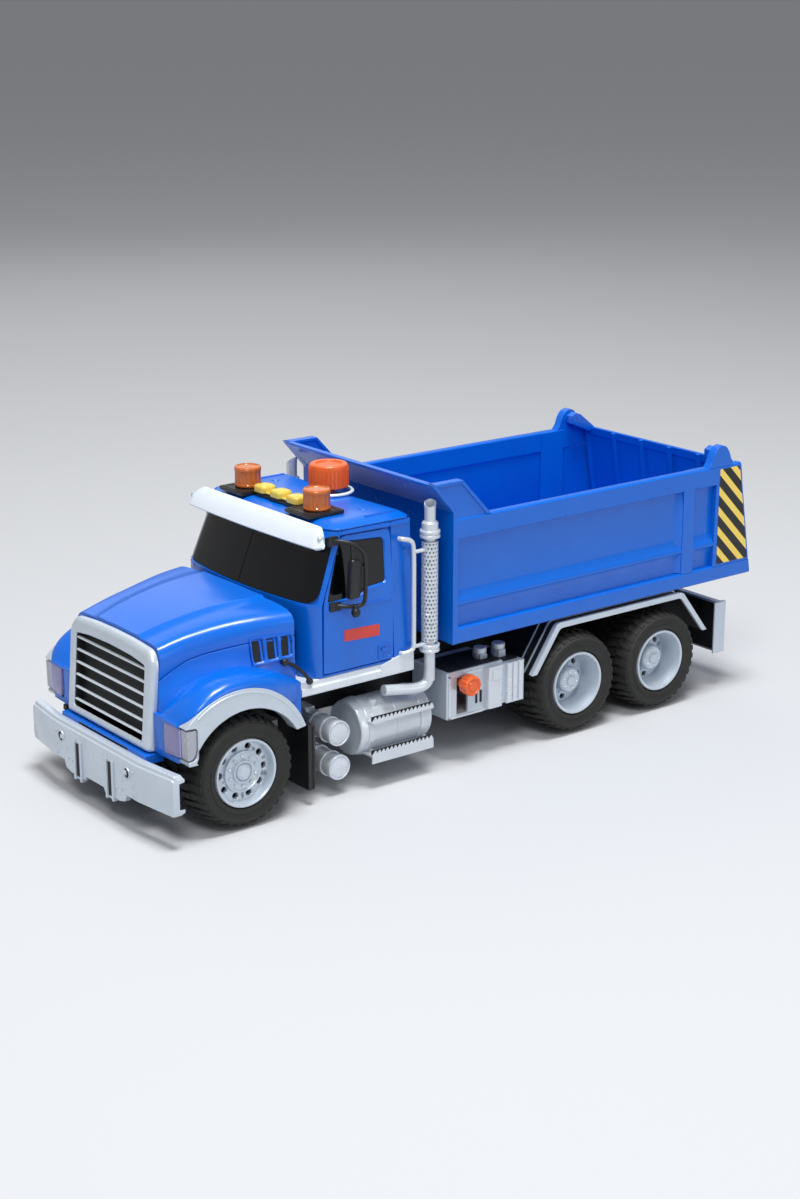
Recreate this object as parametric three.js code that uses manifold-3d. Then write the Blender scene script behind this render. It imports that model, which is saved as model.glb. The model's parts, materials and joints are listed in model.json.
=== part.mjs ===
// A toy six-wheel tipper truck, in millimetres, +Z up, nose towards -X.
// Stations along the truck are measured from the front of the bumper. The whole
// truck is then moved so that the origin is under the middle of its length.

import * as THREE from 'three';
import { mergeVertices } from 'three/addons/utils/BufferGeometryUtils.js';
import Module from 'manifold-3d';

const wasm = await Module();
wasm.setup();

// ---------------------------------------------------------------- driving sizes

const gap = 0.3; // between pieces that seat on each other
const running_gap = 0.6; // between pieces that move past each other

// bed and tailgate
const bed_front = 177.4;
const bed_length = 222.6;
const bed_width = 132.5;
const bed_low = 67.9;
const bed_high = 135.2;
const bed_wall = 5.2;
const bed_panel_depth = 2.6;
const bed_floor = 2.6;
const bed_rail_low = 9.4;
const bed_rail_high = 10.8;
const bed_post = 9;
const bed_rear_post = 30;
const bed_post_gap = 11;
const bed_rear_lean = 11.4;
const canopy_high = 155.1;
const canopy_reach = 14.1;
const canopy_flat = 20;
const canopy_notch = 24;
const canopy_bevel = 5;
const gate_thick = 4;
const gate_hinge_inset = 27.5;
const gate_hinge_rise = 5.2;
const gate_lug = 6.6;
const gate_pin = 2;

// tipping pivot under the bed
const tip_pivot_inset = 28;
const tip_pivot_z = 61;
const tip_pin = 2.6;
const lug_radius = 5.5;
const bed_lug_inner = 14;
const bed_lug_outer = 19.2;

// wheels and axles
const wheel_radius = 28.7;
const rim_radius = 17.6;
const wheel_face = 1.4; // the tyre face stands this far outside the bed side
const front_tyre_clearance = 7.15; // tyre to frame rail
const rear_tyre_clearance = 4.15;
const front_dish = 5; // depth of the wheel's face behind the tyre's
const front_hub_rise = 3.6;
const rear_dish = 13;
const rear_hub_rise = 8;
const front_axle = 47.6;
const middle_axle_after_bed_front = 88.2;
const tandem_pitch = 62.9;
const axle_radius = 3;

// frame
const frame_front = 26;
const rail_half = 19.5;
const rail_thick = 4;
const rail_low = 33;
const hanger_low = 21;
const hanger_half = 9;
const pin_clearance = 0.35;
const flap_station = 88; // mud flap behind the front wheel
const flap_low = 8;
const flap_high = 43;

// bumper and grille
const bumper_width = 138.9;
const bumper_low = 16.7;
const bumper_high = 37.5;
const bumper_thick = 6;
const bumper_sweep = 4;
const bumper_flat = 84;
const keel_deep = 4.5;
const hook_half = 14;
const hook_deep = 7;
const grille_front = 8.3;
const grille_low = 39.7;
const grille_high = 92;
const grille_half = 40.2;
const grille_shoulder = 35.7;
const grille_depth = 8;
const grille_lean = 0.085; // slope, forward at the foot
const opening_half = 33.4;
const opening_low = 44.2;
const opening_high = 83.2;
const bar_count = 6;
const bar_high = 2.6;
const bar_deep = 3.2;

// hood, fenders and cab
const hood_rear = 86;
const hood_wall = 2.4;
const fender_half = 69;
const fender_front = 11.8;
const fender_low = 40;
const fender_top = 78.5;
const arch_gap = 4.6; // tyre to trim
const trim_radius = 41.5; // its outer arc
const trim_forward = 4.1; // the outer arc's middle, ahead of the axle
const trim_raise = 3.3;
const trim_deep = 9;
const trim_tail = 45;
const lamp_rear = 20.5;
const lamp_inner = 50;
const lamp_low = 43.2;
const lamp_high = 58.5;
const cab_half = 58.5;
const cab_rear = 157.2;
const cab_wall = 2.4;
const cab_low = 64.2;
const cowl_z = 101.8;
const eaves_z = 137.4;
const roof_z = 141.4;
const roof_wall = 2.2;
const windshield_foot = 88;
const windshield_lean = 14.5;
const glazing_thick = 1.8;
const window_low = 104;
const window_high = 131;
const window_rear = 140;
const sill_low = 57;
const sill_half = 59.4;
const visor_front = 94.5;
const visor_low = 131.4;
const visor_thick = 1.8;
const visor_half = 60.6;

// roof lights
const beacon_station = 117;
const beacon_half = 31;
const beacon_radius = 6.8;
const beacon_high = 12.4;
const light_bar_high = 1.6;
const pad_long = 26;
const pad_wide = 25;
const roof_lamp_pitch = 10.5;
const roof_lamp_high = 4.2;
const button_station = 147;
const button_radius = 11.2;
const button_top = 157.2;
const button_stem = 3;
const button_travel = 2.5;
const button_crown = 3; // thickness of the cap's top
const collar_high = 2.4;
const spring_wire = 0.5;
const spring_turns = 4;
const spring_radius = 5;

// lifting gear
const lever_after_bed_front = 36.6;
const lever_z = 36;
const lever_reach = 24.5;
const lever_rest = 16.6; // degrees above level
const lever_gear = 9;
const arm_gear = 6;
const gear_tooth = 1.1;
const rack_thick = 4;
const gear_half_width = 3;
const arm_after_middle_axle = 24.4;
const arm_reach = 58.6;
const arm_rest = 7.8; // degrees above level, towards the nose
const arm_foot = 4.1;
const arm_thick = 6;
const lever_thick = 5.2;
const knob_radius = 5.4;
const knob_long = 5.6;
const knob_neck = 2.4;
const box_after_bed_front = 1.6;
const box_long = 51.5;
const box_low = 24;
const box_high = 50;
const box_half = 61;
const box_wall = 2;
const box_inner = 30;
const box_rib_start = 27; // where the ribbed rear part begins

// side equipment
const stack_radius = 4.3;
const stack_half = 61.1;
const stack_before_bed = 11.4;
const stack_top = 146.4;
const stack_low = 50;
const tank_front = 122;
const tank_rear = 168;
const tank_radius = 14.6;
const tank_half = 47;
const tank_z = 29.5;
const step_half = 64.6;
const step_thick = 2.4;
const air_station = 109;
const air_radius = 6.7;
const air_upper = 33;
const air_lower = 14.6;
const air_outer = 60;
const air_inner = 31;
const guard_thick = 2.8;
const guard_half = 66;
const guard_inner = 27;
const rear_bar_inset = 18;
const rear_bar_thick = 4;
const rear_bar_low = 20.5;
const rear_bar_high = 51.3;
const rear_bar_half = 60;
const battery_radius = 5.25;
const battery_long = 44.5;
const battery_front = 106;

// worked out from the sizes above
const bed_rear = bed_front + bed_length;
const bed_half = bed_width / 2;
const middle_axle = bed_front + middle_axle_after_bed_front;
const rear_axle = middle_axle + tandem_pitch;
const tyre_face = bed_half + wheel_face;
const arch_radius = wheel_radius + arch_gap;
const rail_high = sill_low - gap;
const rail_outer = rail_half + rail_thick;
const front_tyre_width = tyre_face - rail_outer - front_tyre_clearance;
const rear_tyre_width = tyre_face - rail_outer - rear_tyre_clearance;
const tip_pivot = bed_rear - tip_pivot_inset;
const gate_hinge = bed_rear - gate_hinge_inset;
const gate_hinge_z = bed_high + gate_hinge_rise;
const lever_station = bed_front + lever_after_bed_front;
const arm_station = middle_axle + arm_after_middle_axle;
const rack_z = lever_z + lever_gear;
const arm_z = rack_z + rack_thick + arm_gear;
const battery_rear = battery_front + battery_long;
const rear_slope = bed_rear_lean / (bed_high - bed_low);

// ---------------------------------------------------------------- shape helpers

// Swaps an extrusion's axes (a, b, along) for the given rows.
function turned(geometry, rows) {
  return geometry.applyMatrix4(new THREE.Matrix4().set(...rows, 0, 0, 0, 1));
}

function outline(points) {
  return new THREE.Shape(points.map(([a, b]) => new THREE.Vector2(a, b)));
}

function extruded(shape, depth) {
  return new THREE.ExtrudeGeometry(shape, { depth, bevelEnabled: false, curveSegments: 6 });
}

// An outline in X and Z that runs across the truck from y0 to y1.
function across(points, y0, y1) {
  const body = extruded(points.isShape ? points : outline(points), y1 - y0);
  return turned(body, [1, 0, 0, 0, 0, 0, -1, y1, 0, 1, 0, 0]);
}

// An outline in Y and Z that runs along the truck from x0 to x1.
function along(points, x0, x1) {
  const body = extruded(points.isShape ? points : outline(points), x1 - x0);
  return turned(body, [0, 0, 1, x0, 1, 0, 0, 0, 0, 1, 0, 0]);
}

// An outline in X and Y that stands from z0 to z1.
function upright(points, z0, z1) {
  const body = extruded(points.isShape ? points : outline(points), z1 - z0);
  return body.translate(0, 0, z0);
}

function block(x0, x1, y0, y1, z0, z1) {
  const body = new THREE.BoxGeometry(x1 - x0, y1 - y0, z1 - z0);
  return body.translate((x0 + x1) / 2, (y0 + y1) / 2, (z0 + z1) / 2);
}

// A rod across the truck, centred on a station and a height.
function rodAcross(x, z, radius, y0, y1, sides = 20) {
  const body = new THREE.CylinderGeometry(radius, radius, y1 - y0, sides);
  return body.translate(x, (y0 + y1) / 2, z);
}

function rodAlong(y, z, radius, x0, x1, sides = 20) {
  const body = new THREE.CylinderGeometry(radius, radius, x1 - x0, sides);
  return body.rotateZ(Math.PI / 2).translate((x0 + x1) / 2, y, z);
}

function rodUp(x, y, radius, z0, z1, sides = 20) {
  const body = new THREE.CylinderGeometry(radius, radius, z1 - z0, sides);
  return body.rotateX(Math.PI / 2).translate(x, y, (z0 + z1) / 2);
}

// A turned body about the line across the truck through (x, z). The profile's
// pairs are a radius and a Y.
function spun(profile, x, z, sides = 24) {
  const points = profile.map(([r, y]) => new THREE.Vector2(r, y));
  return new THREE.LatheGeometry(points, sides).translate(x, 0, z);
}

// Joins rings of the same number of points, each going the same way round,
// and closes both ends with a fan about the ring's middle.
function lofted(rings) {
  const count = rings[0].length;
  const positions = rings.flat(2);
  const faces = [];
  for (let ring = 0; ring + 1 < rings.length; ring += 1) {
    for (let k = 0; k < count; k += 1) {
      const a = ring * count + k;
      const b = ring * count + ((k + 1) % count);
      faces.push(a, b, b + count, a, b + count, a + count);
    }
  }
  for (const [ring, flip] of [[0, true], [rings.length - 1, false]]) {
    const middle = positions.length / 3;
    for (let axis = 0; axis < 3; axis += 1) {
      positions.push(rings[ring].reduce((sum, point) => sum + point[axis], 0) / count);
    }
    for (let k = 0; k < count; k += 1) {
      const a = ring * count + k;
      const b = ring * count + ((k + 1) % count);
      if (flip) faces.push(middle, b, a);
      else faces.push(middle, a, b);
    }
  }
  const body = new THREE.BufferGeometry();
  body.setAttribute('position', new THREE.Float32BufferAttribute(positions, 3));
  body.setIndex(faces);
  return body;
}

// ---------------------------------------------------------------- solids

function solid(geometry) {
  if (geometry instanceof wasm.Manifold) return geometry;
  const plain = geometry.clone();
  for (const name of Object.keys(plain.attributes)) {
    if (name !== 'position') plain.deleteAttribute(name);
  }
  const merged = mergeVertices(plain, 1e-4);
  const body = new wasm.Manifold(new wasm.Mesh({
    numProp: 3,
    vertProperties: new Float32Array(merged.attributes.position.array),
    triVerts: new Uint32Array(merged.index.array),
  }));
  return body;
}

function join(...pieces) {
  return pieces.map(solid).reduce((sum, piece) => sum.add(piece));
}

function cut(body, ...tools) {
  return tools.map(solid).reduce((rest, tool) => rest.subtract(tool), solid(body));
}

function meet(a, b) {
  return solid(a).intersect(solid(b));
}

function geometryOf(body) {
  const { vertProperties, triVerts } = solid(body).getMesh();
  const geometry = new THREE.BufferGeometry();
  geometry.setAttribute('position', new THREE.BufferAttribute(new Float32Array(vertProperties), 3));
  geometry.setIndex(new THREE.BufferAttribute(new Uint32Array(triVerts), 1));
  geometry.computeVertexNormals();
  return geometry;
}

// The same body on the other side of the truck.
function mirrored(body) {
  const geometry = geometryOf(body).scale(1, -1, 1);
  const faces = geometry.index.array;
  for (let k = 0; k < faces.length; k += 3) {
    [faces[k], faces[k + 1]] = [faces[k + 1], faces[k]];
  }
  return geometry;
}

// ---------------------------------------------------------------- materials

function plastic(color, roughness = 0.35) {
  return new THREE.MeshStandardMaterial({ color, roughness, metalness: 0 });
}

const blue = plastic(0x1f55c8, 0.28);
const silver = plastic(0xc9d3dc, 0.35);
const white = plastic(0xe4e9ee, 0.35);
const black = plastic(0x17181a, 0.45);
const glossBlack = plastic(0x0c0d10, 0.08);
const amber = plastic(0xd2701e, 0.15);
const yellow = plastic(0xf2dc7a, 0.25);
const orange = plastic(0xee6a30, 0.35);
const rubber = plastic(0x2a2a29, 0.75);
const clear = plastic(0xcfd6e6, 0.1);
const green = plastic(0x2f6b3c, 0.5);
const steel = new THREE.MeshStandardMaterial({ color: 0xb8bcc0, roughness: 0.35, metalness: 1 });

const group = new THREE.Group();
const truck = new THREE.Group();
truck.position.x = -bed_rear / 2;
group.add(truck);

function add(name, body, material) {
  const mesh = new THREE.Mesh(geometryOf(body), material);
  mesh.name = name;
  truck.add(mesh);
}

// The left side, seen from the driver's seat, is the -Y side.
function addPair(name, left, material) {
  add(`${name}_left`, left, material);
  add(`${name}_right`, mirrored(left), material);
}

// ---------------------------------------------------------------- frame

// Both sides of a box that lies off the centre line.
function boxPair(x0, x1, inner, outer, z0, z1) {
  return [block(x0, x1, -outer, -inner, z0, z1), block(x0, x1, inner, outer, z0, z1)];
}

function lugPair(x, z, foot, inner, outer) {
  return [-1, 1].flatMap((side) => {
    const y0 = side < 0 ? -outer : inner;
    const y1 = side < 0 ? -inner : outer;
    const low = Math.min(z, foot);
    const high = Math.max(z, foot);
    const plate = block(x - lug_radius, x + lug_radius, y0, y1, low, high);
    return [rodAcross(x, z, lug_radius, y0, y1, 12), plate];
  });
}

function chassisFrame() {
  const rail_rear = bed_rear - rear_bar_inset - gap;
  const axles = [front_axle, middle_axle, rear_axle];
  const crossmembers = [frame_front, 95, 162, lever_station + 26, rail_rear - 6];
  const member_high = rack_z - running_gap;
  const member_half = rail_half + 1;
  const parts = [
    ...boxPair(frame_front, rail_rear, rail_half, rail_outer, rail_low, rail_high),
    ...boxPair(bumper_thick + gap, frame_front + 4, rail_half, rail_outer, 24, 38),
    ...crossmembers.map((x) => block(x, x + 5, -member_half, member_half, rail_low, member_high)),
    ...axles.flatMap((x) => (
      boxPair(x - hanger_half, x + hanger_half, rail_half, rail_outer, hanger_low, rail_low + 1)
    )),
    ...lugPair(lever_station, lever_z, rail_high - 1, rail_half, rail_outer),
    ...lugPair(arm_station, arm_z, rail_low + 1, rail_half, rail_outer),
    ...lugPair(tip_pivot, tip_pivot_z, rail_low + 1, rail_half, rail_outer),
    // outriggers to the fuel tanks, the boxes, the mudguards and the flaps
    ...boxPair(tank_front + 16, tank_front + 28, member_half, tank_half - tank_radius - gap, rail_low, 38),
    ...boxPair(bed_front + 8, bed_front + 18, member_half, box_inner - gap, box_high - 5, box_high),
    ...boxPair(middle_axle + 27, middle_axle + 35, member_half, guard_inner + 9, 51, guardLow() - gap),
    ...boxPair(flap_station + 1, flap_station + 9, member_half, 36, 38, flap_high),
    ...boxPair(flap_station, flap_station + 2.5, 35, 62, flap_low, flap_high),
  ];
  return cut(
    join(...parts),
    ...axles.map((x) => rodAcross(x, wheel_radius, axle_radius + pin_clearance, -60, 60, 16)),
    rodAcross(lever_station, lever_z, axle_radius + pin_clearance, -60, 60, 16),
    rodAcross(arm_station, arm_z, tip_pin + pin_clearance, -60, 60, 16),
    rodAcross(tip_pivot, tip_pivot_z, tip_pin + pin_clearance, -60, 60, 16),
  );
}

function batteryPack() {
  const low = rail_low + 4;
  const cells = [-1, 1].map((side) => (
    rodAlong(side * battery_radius, low + battery_radius, battery_radius, battery_front, battery_rear)
  ));
  const holder = block(battery_front - 3, battery_rear + 3, -13, 13, low - 1, low + battery_radius);
  return join(holder, ...cells);
}

function batteryCover() {
  const half = rail_half - running_gap;
  const plate = block(battery_front - 5, battery_rear + 5.5, -half, half, rail_low, rail_low + 2.4);
  return join(plate, block(126, 132, -6, 6, rail_low + 1, rail_low + 2.6));
}

// ---------------------------------------------------------------- nose

function bumper() {
  const half = bumper_width / 2;
  const flat = bumper_flat / 2;
  const end = bumper_sweep + bumper_thick;
  const plan = [[bumper_sweep, half], [0, flat], [0, -flat], [bumper_sweep, -half],
    [end, -half], [bumper_thick, -flat], [bumper_thick, flat], [end, half]];
  const bar = upright(plan, bumper_low, bumper_high);
  const keel = block(0, 5, -30, 30, bumper_low - keel_deep, bumper_low + 1);
  const hooks = [-1, 1].map((side) => {
    const y = side * hook_half;
    return block(0, 3, y - 1.7, y + 1.7, bumper_low - hook_deep, bumper_high - 6);
  });
  return join(bar, keel, ...hooks);
}

// The grille stands in a frame that leans back, forward at its foot.
function leaned(body) {
  const place = new THREE.Matrix4().set(1, 0, grille_lean, grille_front - grille_lean * grille_low,
    0, 1, 0, 0, 0, 0, 1, 0, 0, 0, 0, 1);
  return geometryOf(body).applyMatrix4(place);
}

function grilleOutline(extra) {
  const side = grille_half + extra;
  const shoulder = grille_shoulder + extra;
  return [[-side, grille_low - extra], [side, grille_low - extra], [side, 84.5], [shoulder, 90.5 + extra],
    [0, grille_high + extra], [-shoulder, 90.5 + extra], [-side, 84.5]];
}

function grilleSurround() {
  const opening = [[-opening_half, opening_low], [opening_half, opening_low], [opening_half, opening_high],
    [0, opening_high + 1.6], [-opening_half, opening_high]];
  return leaned(cut(along(grilleOutline(0), 0, grille_depth), along(opening, -1, grille_depth + 1)));
}

function grilleInsert() {
  const half = opening_half - gap;
  return leaned(block(5, 7.4, -half, half, opening_low + gap, opening_high - gap));
}

function grilleBars() {
  const half = opening_half - gap;
  const pitch = (opening_high - opening_low) / bar_count;
  const bars = Array.from({ length: bar_count }, (_, k) => {
    const z = opening_low + pitch * (k + 0.5);
    return block(1, 1 + bar_deep, -half, half, z - bar_high / 2, z + bar_high / 2);
  });
  const ends = boxPair(2.2, 5 - gap, half - 2, half, opening_low + gap, opening_high - gap);
  return leaned(join(...bars, ...ends));
}

function apron() {
  const rear = front_axle - wheel_radius - 2;
  return cut(
    block(bumper_thick + gap, rear, -41, 41, bumper_high - 3, grille_low - gap),
    block(0, rear + 1, -rail_outer - gap, rail_outer + gap, 0, 38 + gap),
  );
}

// ---------------------------------------------------------------- hood

// Each half section holds pairs of Y and Z, from the foot to the crown.
function symmetricRing(x, half) {
  const right = half.map(([y, z]) => [x, y, z]);
  const left = half.map(([y, z]) => [x, -y, z]).reverse();
  return [...right, ...left];
}

// inset shrinks the section; foot is the height of its lower edge.
function hoodBody(inset, foot, x0, x1) {
  const sections = [
    [x0, 39, 84, 35.5, 90, 91.2],
    [30, 41.5, 86, 36.5, 94.5, 96.5],
    [52, 45.5, 89.5, 38.5, 98.8, 101.4],
    [70, 51, 93, 43, 100.5, 102.8],
    [x1, 57.8, 95.5, 47.5, 101, 102.6],
  ];
  return lofted(sections.map(([x, side, edge, top, shoulder, crown]) => symmetricRing(x, [
    [side - inset, foot], [side - inset, edge - inset], [top - inset, shoulder - inset],
    [20, crown - inset],
  ])));
}

function fender() {
  const sections = [[fender_front, 62, 64], [24, 66.5, 73], [38, 67.6, fender_top], [56, 67.6, fender_top],
    [72, 65, 74], [hood_rear, 58.5, 66]];
  return lofted(sections.map(([x, half, top]) => [
    [x, -half, fender_low], [x, -30, fender_low], [x, -30, top + 2], [x, -half + 12, top],
    [x, -half + 3, top - 4], [x, -half, top - 11],
  ]));
}

function trimCircle(extra, y0, y1) {
  return rodAcross(front_axle - trim_forward, wheel_radius + trim_raise, trim_radius + extra, y0, y1, 48);
}

function headlightBody(extra) {
  const outer = fender_half - 0.4 + extra;
  return upright([[fender_front - 0.6 - extra, -lamp_inner + extra],
    [fender_front + 1.5 - extra, -outer + 6], [fender_front + 6, -outer],
    [lamp_rear + extra, -outer], [lamp_rear + extra, -lamp_inner + extra]],
  lamp_low - extra, lamp_high + extra);
}

function hood() {
  const wide = cab_half + 20;
  const outside = join(hoodBody(0, sill_low, grille_front + 4, hood_rear), fender(), mirrored(fender()));
  return cut(
    outside,
    hoodBody(hood_wall, sill_low - 20, grille_front + 14, hood_rear + 1),
    leaned(along(grilleOutline(gap), -30, grille_depth + gap)),
    ...[-1, 1].map((side) => rodAcross(front_axle, wheel_radius, arch_radius,
      side < 0 ? -wide : 25, side < 0 ? -25 : wide, 40)),
    trimCircle(gap, -wide, -fender_half + trim_deep + gap),
    trimCircle(gap, fender_half - trim_deep - gap, wide),
    headlightBody(gap),
    mirrored(headlightBody(gap)),
    block(-5, 70, -rail_outer - 2, rail_outer + 2, 0, sill_low),
  );
}

function fenderTrim() {
  const ring = cut(
    trimCircle(0, -fender_half, -fender_half + trim_deep),
    rodAcross(front_axle, wheel_radius, arch_radius, -90, 0, 40),
    headlightBody(gap),
  );
  const front = block(fender_front, front_axle, -90, 0, fender_low, 90);
  const rear = block(front_axle - 1, hood_rear, -90, 0, trim_tail, 90);
  return meet(ring, join(front, rear));
}

// ---------------------------------------------------------------- cab

// The cab's plan at the height z, drawn in by inset.
function cabRing(z, inset, front) {
  const half = cab_half - inset;
  const nose = (x, y) => [x + front + inset, y, z];
  const side = [nose(4, -47 + inset), nose(7.5, -53 + inset), nose(14, -half)];
  return [nose(0, 0), ...side, [cab_rear - inset, -half, z], [cab_rear - inset, half, z],
    ...side.map(([x, y]) => [x, -y, z]).reverse()];
}

function bluntRing(z, inset) {
  const half = cab_half - inset;
  const x0 = hood_rear + gap + inset;
  const side = [[x0, -47 + inset, z], [x0, -53 + inset, z], [x0 + 4, -half, z]];
  return [[x0, 0, z], ...side, [cab_rear - inset, -half, z], [cab_rear - inset, half, z],
    ...side.map(([x, y]) => [x, -y, z]).reverse()];
}

function cabBody(inset, z0, z1) {
  const lean = windshield_lean / (eaves_z - cowl_z);
  return lofted([
    bluntRing(z0, inset),
    bluntRing(cowl_z - 3, inset),
    cabRing(cowl_z, inset, windshield_foot),
    cabRing(z1, inset, windshield_foot + lean * (z1 - cowl_z)),
  ]);
}

function visorProfile(extra) {
  const top = [104.2 + extra, 141.2 + extra];
  return [[visor_front - extra, visor_low - extra], [visor_front + visor_thick + extra, visor_low - extra],
    [top[0] + visor_thick + extra, top[1] - visor_thick - extra], top, [top[0] - 1.5, top[1]]];
}

function visor() {
  const slab = across(visorProfile(0), -visor_half, visor_half);
  const left = [[80, -50], [visor_front + 1.5, -visor_half], [visor_front + 4, -visor_half], [112, -50]];
  const right = left.map(([x, y]) => [x, -y]).reverse();
  return meet(slab, upright([...left, ...right], 100, 160));
}

function visorRoom() {
  return across(visorProfile(gap), -80, 80);
}

function cabShell() {
  const lean = windshield_lean / (eaves_z - cowl_z);
  const window = [[107, window_low], [107 + lean * (window_high - window_low), window_high],
    [window_rear, window_high], [window_rear, window_low]];
  return cut(
    cabBody(0, cab_low, eaves_z),
    cabBody(cab_wall, cab_low - 2, eaves_z + 4),
    across(window, -80, 80),
    block(80, 108, -50, 50, window_low, 130),
    visorRoom(),
  );
}

function glazing() {
  const inset = cab_wall + gap;
  const inside = cabBody(inset + glazing_thick, cab_low - 2, eaves_z + 4);
  const band = cut(cabBody(inset, cab_low, eaves_z), inside);
  const keep = block(80, window_rear + 3, -80, 80, window_low - 1.5, window_high + 1.5);
  return cut(meet(band, keep), visorRoom());
}

function roof() {
  const z0 = eaves_z + gap;
  const lip = windshield_foot + windshield_lean;
  const skin = (inset, low, high) => lofted([
    cabRing(low, inset, lip),
    cabRing(z0 + 1, inset, lip),
    cabRing(high, inset + 9, lip - 4),
  ]);
  const posts = [[112, -26], [112, 26], [152, -26], [152, 26]].map(([x, y]) => (
    rodUp(x, y, 2, boardTop() + gap, roof_z - 1, 10)
  ));
  const shell = cut(skin(0, z0, roof_z), skin(roof_wall, z0 - 2, roof_z - roof_wall), visorRoom());
  return cut(
    join(shell, ...posts),
    rodUp(button_station, 0, button_stem + pin_clearance, 120, 150),
  );
}

function cabFloor() {
  return block(hood_rear + gap, cab_rear, -sill_half, sill_half, sill_low, cab_low - gap);
}

// ---------------------------------------------------------------- roof lights

function lightBar() {
  const z0 = roof_z + gap;
  const z1 = z0 + light_bar_high;
  const x0 = beacon_station - pad_long / 2;
  const inner = beacon_half - pad_wide / 2;
  return join(
    ...boxPair(x0, x0 + pad_long, inner, inner + pad_wide, z0, z1),
    block(x0 + 2, x0 + 14, -inner - 1, inner + 1, z0, z1),
  );
}

function lightBarTop() {
  return roof_z + gap + light_bar_high;
}

function beacon() {
  const z0 = lightBarTop() + gap;
  return rodUp(beacon_station, -beacon_half, beacon_radius, z0, z0 + beacon_high, 24);
}

function roofLamps() {
  const z0 = lightBarTop() + gap;
  const x = beacon_station - pad_long / 2 + 8;
  const lenses = [-1, 0, 1].map((k) => block(x - 4, x + 4, k * roof_lamp_pitch - 4.4,
    k * roof_lamp_pitch + 4.4, z0, z0 + roof_lamp_high));
  return join(...lenses, block(x - 3, x + 3, -roof_lamp_pitch, roof_lamp_pitch, z0, z0 + 0.9));
}

function boardTop() {
  return eaves_z - 6;
}

function lightBoard() {
  return block(110, 154, -29, 29, boardTop() - 1.6, boardTop());
}

function buttonCollar() {
  const z0 = roof_z + gap;
  return cut(
    rodUp(button_station, 0, button_radius + 2.2, z0, z0 + collar_high, 32),
    rodUp(button_station, 0, button_radius + running_gap, z0 - 1, z0 + collar_high + 1, 32),
  );
}

function buttonLow() {
  return roof_z + gap + button_travel + running_gap;
}

function lightButton() {
  const cap = cut(
    rodUp(button_station, 0, button_radius, buttonLow(), button_top, 32),
    rodUp(button_station, 0, button_radius - 1.8, buttonLow() - 1, button_top - button_crown, 24),
  );
  const foot = boardTop() + button_travel + running_gap;
  const stem = rodUp(button_station, 0, button_stem, foot, button_top - 1, 16);
  return join(cap, stem);
}

function buttonSpring() {
  const z0 = roof_z + gap + spring_wire;
  const z1 = button_top - button_crown - gap - spring_wire;
  class Helix extends THREE.Curve {
    getPoint(t) {
      const turn = 2 * Math.PI * spring_turns * t;
      const a = spring_radius * Math.cos(turn);
      const b = spring_radius * Math.sin(turn);
      return new THREE.Vector3(button_station + a, b, z0 + t * (z1 - z0));
    }
  }
  const wire = new THREE.Shape().absarc(0, 0, spring_wire, 0, 2 * Math.PI);
  const steps = 10 * spring_turns;
  return new THREE.ExtrudeGeometry(wire, { steps, curveSegments: 2, extrudePath: new Helix() });
}

// ---------------------------------------------------------------- cab side pieces

// A round bar bent through the points.
function bent(points, radius, steps) {
  const route = points.map((p) => new THREE.Vector3(...p));
  const path = new THREE.CatmullRomCurve3(route, false, 'catmullrom', 0.2);
  const shape = new THREE.Shape().absarc(0, 0, radius, 0, 2 * Math.PI);
  return new THREE.ExtrudeGeometry(shape, { steps, curveSegments: 3, extrudePath: path });
}

function mirror() {
  const side = -cab_half - gap;
  const arm = bent([[109, side, 133], [113, side - 5, 132.5], [120, side - 8, 127], [121, side - 8, 116],
    [121, side - 8, 104], [116, side - 5, 100.5], [110, side - 1, 100]], 1.3, 18);
  return join(arm, block(118.5, 123, side - 9.6, side - 2, 93, 110));
}

function exhaustStack() {
  const x = bed_front - stack_before_bed;
  const y = -stack_half;
  const thin = stack_radius - 1.5;
  const shield = rodUp(x, y, stack_radius, 62, 134, 12);
  const pipe = rodUp(x, y, thin, stack_low, stack_top, 12);
  const clamps = [66, 126].map((z) => rodUp(x, y, stack_radius + 0.9, z, z + 4, 12));
  const elbow = bent([[x, y, 56], [x, y, 50], [x - 7, y + 1, 46.6], [x - 26, y + 3, 48.6]], thin - 0.2, 9);
  const rail_x = cab_rear - 2;
  const rail_y = -cab_half - 3;
  const rail = bent([[rail_x - 6, rail_y + 0.8, 128], [rail_x, rail_y, 123], [rail_x, rail_y, 96],
    [rail_x, rail_y, 68]], 1.3, 10);
  const ties = [68, 121].map((z) => block(rail_x, x, rail_y - 1, rail_y + 1, z - 1, z + 1));
  return join(shield, pipe, ...clamps, elbow, rail, ...ties);
}

function fuelTank() {
  const body = rodAlong(-tank_half, tank_z, tank_radius, tank_front, tank_rear, 24);
  const bands = [tank_front + 3, tank_rear - 7].map((x) => (
    rodAlong(-tank_half, tank_z, tank_radius + 0.7, x, x + 4, 24)
  ));
  const steps = [37, 17].map((z) => (
    block(tank_front + 4, tank_rear - 2, -step_half, -tank_half - 3, z, z + step_thick)
  ));
  return join(body, ...bands, ...steps);
}

function airTanks() {
  const tanks = [air_upper, air_lower].map((z) => (
    rodAcross(air_station, z, air_radius, -air_outer, -air_inner, 24)
  ));
  const plate = block(air_station - 3, air_station + 3, -air_inner - 3, -rail_outer - gap,
    air_lower - 3, air_upper + 7);
  return join(...tanks, plate);
}

// ---------------------------------------------------------------- boxes on the frame

function boxOutside() {
  const x0 = bed_front + box_after_bed_front;
  const x1 = x0 + box_long;
  const body = block(x0, x1 - 13, -box_half + 1.6, -box_inner, box_low, box_high);
  const ribbed = block(x1 - 22, x1, -box_half, -box_inner, box_low + 2, box_high - 1.5);
  const caps = [0.55, 0.8].map((share) => {
    const x = x0 + box_long * share;
    return block(x, x + 5, -box_half + 8, -box_half + 15, box_high - 3, box_high + 3);
  });
  return join(body, ribbed, ...caps);
}

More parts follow.
